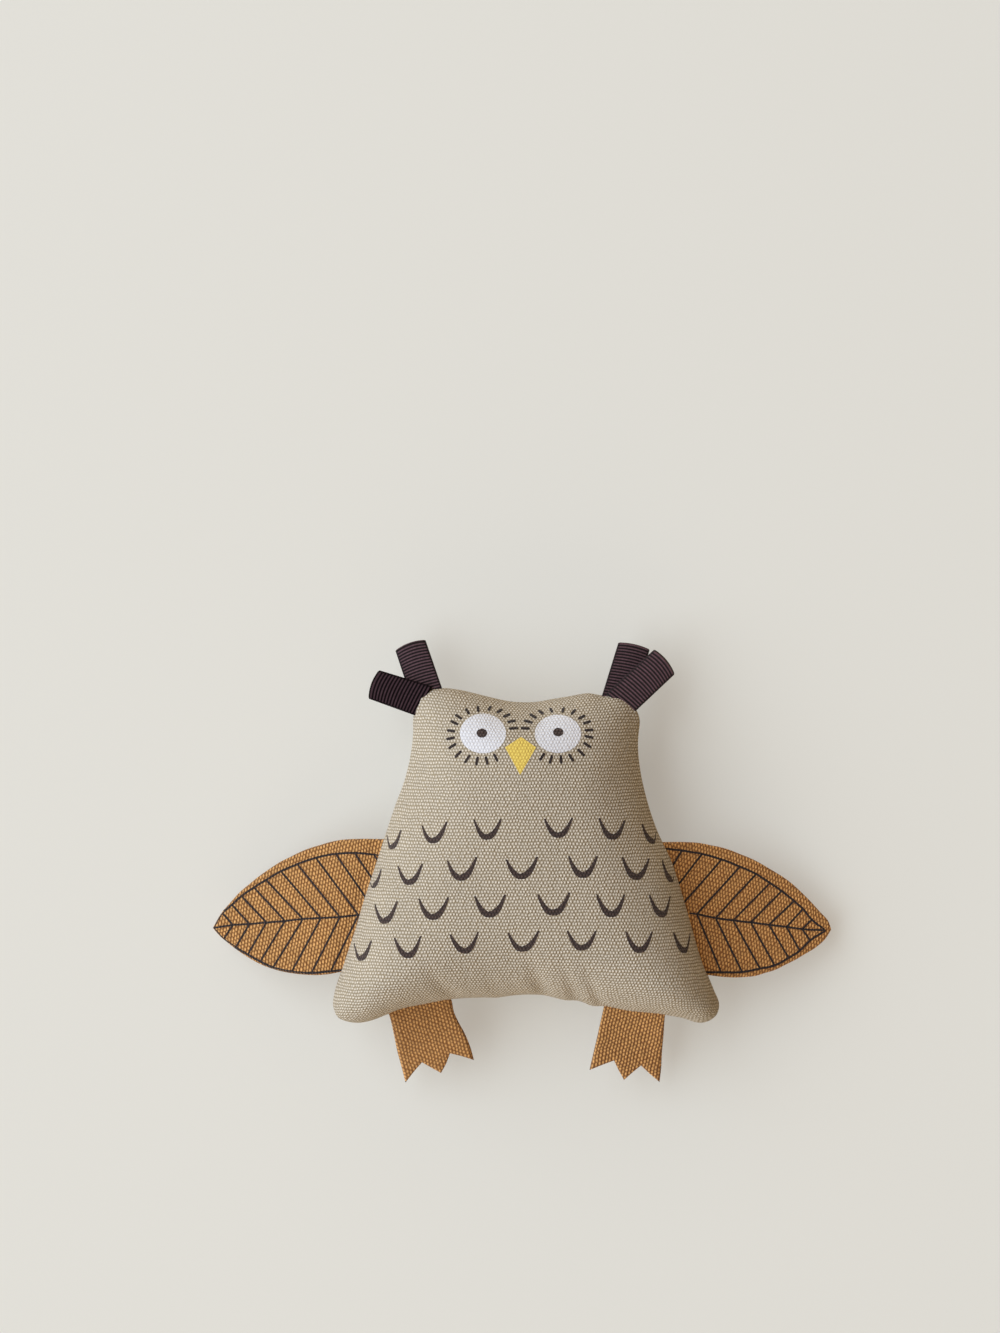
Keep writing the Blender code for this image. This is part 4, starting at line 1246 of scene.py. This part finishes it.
def floor_paper():
    """Pale paper that lights the toy with a warm bounce. The camera sees it neutral, and partly
    as a plain colour of its own, so that the toy's shadow stays faint on it."""
    paper = Shader("floor_paper", 0.9)
    paper.surface.inputs["Base Color"].default_value = srgb(222, 208, 176)
    seen = paper.add("ShaderNodeBsdfDiffuse", {"Color": srgb(221, 218, 211)})
    plain = paper.add("ShaderNodeEmission", {"Color": srgb(230, 227, 219), "Strength": 1.0})
    faint = paper.add("ShaderNodeMixShader", {0: 0.4, 1: seen.outputs[0], 2: plain.outputs[0]})
    rays = paper.add("ShaderNodeLightPath")
    both = paper.add("ShaderNodeMixShader", {
        0: rays.outputs["Is Camera Ray"], 1: paper.surface.outputs[0], 2: faint.outputs[0]})
    paper.tree.links.new(both.outputs[0], paper.tree.nodes["Material Output"].inputs[0])
    return paper.material


def soft_light(name, place, size, watts, colour):
    """A rectangular lamp that faces the toy."""
    lamp = bpy.data.lights.new(name, "AREA")
    lamp.shape = "RECTANGLE"
    lamp.size, lamp.size_y = size
    lamp.color = colour
    lamp.energy = watts
    obj = bpy.data.objects.new(name, lamp)
    obj.location = place
    obj.rotation_euler = (-obj.location).to_track_quat("-Z", "Y").to_euler()
    bpy.context.scene.collection.objects.link(obj)


def stage_light_and_camera():
    """A plain pale floor, a camera straight above, a large soft light from the left, and two
    weak warm ones from the long sides."""
    corners = np.array([(-1, -1, 0), (1, -1, 0), (1, 1, 0), (-1, 1, 0)]) * FLOOR_REACH
    floor = new_piece("floor", corners, [(0, 1, 2, 3)])
    dress(floor, floor_paper())
    camera = bpy.data.cameras.new("camera")
    camera.sensor_width = SENSOR_WIDTH
    camera.lens = SENSOR_WIDTH * CAMERA_DISTANCE / (PHOTO_SIZE[1] * PIXEL)
    camera.clip_start = 0.01
    eye = bpy.data.objects.new("camera", camera)
    eye.location = CAMERA
    bpy.context.scene.collection.objects.link(eye)
    bpy.context.scene.camera = eye
    for name, (place, size, watts, colour) in LAMPS.items():
        soft_light(name, place, size, watts, colour)
    world = bpy.data.worlds.new("room")
    bpy.context.scene.world = world
    world.use_nodes = True
    background = world.node_tree.nodes["Background"]
    background.inputs["Color"].default_value = ROOM_COLOUR
    background.inputs["Strength"].default_value = ROOM_STRENGTH
    bpy.context.scene.view_settings.view_transform = "Standard"


# The owl

def build():
    """Make every piece and give it its finish; fix the body's own pieces and its ink to the body.
    """
    natural = canvas("natural_canvas", srgb(219, 206, 190), srgb(151, 135, 109), relief=1.05)
    leaf_weave = {"pitch": (1.32 * MM, 0.99 * MM), "bead": (0.58, 0.52)}
    ochre = canvas("ochre_canvas", srgb(216, 161, 97), srgb(116, 69, 27), flecks=0.3,
                   **leaf_weave)
    # A lighter copy of the ochre canvas for the right wing only: painted light, brighter than the
    # same cloth elsewhere because of how the light falls on that wing
    painted_lit_ochre = canvas("light_ochre_canvas", srgb(233, 174, 105), srgb(125, 74, 29), flecks=0.3,
                         **leaf_weave)
    dark_ink = canvas("dark_ink", srgb(80, 62, 57), srgb(48, 36, 34), flecks=0.3)
    lash_ink = canvas("lash_ink", srgb(54, 40, 38), srgb(35, 25, 25), flecks=0.3)
    leaf_ink = canvas("leaf_ink", srgb(52, 38, 38), srgb(33, 25, 25), flecks=0.3, **leaf_weave)
    white_ink = canvas("white_ink", srgb(231, 229, 233), srgb(211, 209, 214), flecks=0.05,
                       relief=0.5)
    yellow_ink = canvas("yellow_ink", srgb(238, 210, 105), srgb(217, 183, 84), flecks=0.05,
                        relief=0.5)
    thread = spun("cotton_thread", srgb(214, 205, 188), srgb(178, 168, 150), 2500.0, 0.08 * MM)
    fibre = spun("fibre_filling", srgb(242, 240, 235), srgb(222, 219, 212), 900.0, 0.4 * MM)

    cushion, filling, seam = body_cushion()
    inside, stitches = seam_threads(seam)
    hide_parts("body_front_panel", "body_back_panel")
    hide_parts("stuffing")
    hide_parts("seam_thread")
    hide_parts("closing_stitch")
    for piece, paint, slot in ((cushion, natural, "canvas_natural"), (filling, fibre, "filling"),
                               (inside, thread, "thread"), (stitches, thread, "thread")):
        dress(piece, paint)
        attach(piece, "owl_body")

    skin = Printable(cushion)
    left, top, right, low = (np.array(corner, float) for corner in BEAK_PX)
    beak = spread(*(even_run(np.array(edge), 15) for edge in (
        (left, low), (low, right), (top, right), (left, top))))
    inks = [
        (printed("eye_whites", skin, [disc(*eye, rings=11, ragged=0.006)
                                      for eye in EYES_PX]), white_ink),
        (printed("beak", skin, [beak]), yellow_ink),
        (printed("lashes", skin, [stroke(longer(line, 0.7), 2.6, step=1.0, ragged=0.1)
                                  for line in LASHES_PX]), lash_ink),
        (printed("feather_marks", skin, [feather(*mark) for mark in FEATHERS_PX]), dark_ink),
        (printed("pupils", skin, [disc(*pupil, rings=6, ragged=0.04)
                                   for pupil in PUPILS_PX]), dark_ink),
    ]
    pupils = inks[-1][0].data
    pupils.vertices.foreach_set("co", (read(pupils.vertices, "co", 3) + UP * INK_LIFT).ravel())
    for ink, paint in inks:
        dress(ink, paint)
        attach(ink, "owl_body")

    def hang(piece, paint):
        """Give a limb its finish and bake its place into its points."""
        dress(piece, paint)
        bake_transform(piece)

    for side in ("left", "right"):
        leaf, seam, veins, axes = wing(side)
        # The right wing's canvas is the painted-light copy of the ochre
        cloth = painted_lit_ochre if side == "right" else ochre
        hang(leaf, cloth)
        hang(veins, leaf_ink)
        hang(seam, thread)
        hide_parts(f"{side}_wing_front", f"{side}_wing_back")
        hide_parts(f"{side}_wing_thread")
        claws, axes = foot(side)
        hang(claws, ochre)
        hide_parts(f"{side}_foot_front", f"{side}_foot_back")
    for name in RIBBONS:
        loop, axes = ribbon_loop(name)
        # Each loop gets its own copy of the grosgrain, darker or lighter by its painted light
        # factor
        ribbon = grosgrain(f"{name}_grosgrain", RIBBONS[name]["painted_light"])
        hang(loop, ribbon)
        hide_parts(name)


build()
stage_light_and_camera()
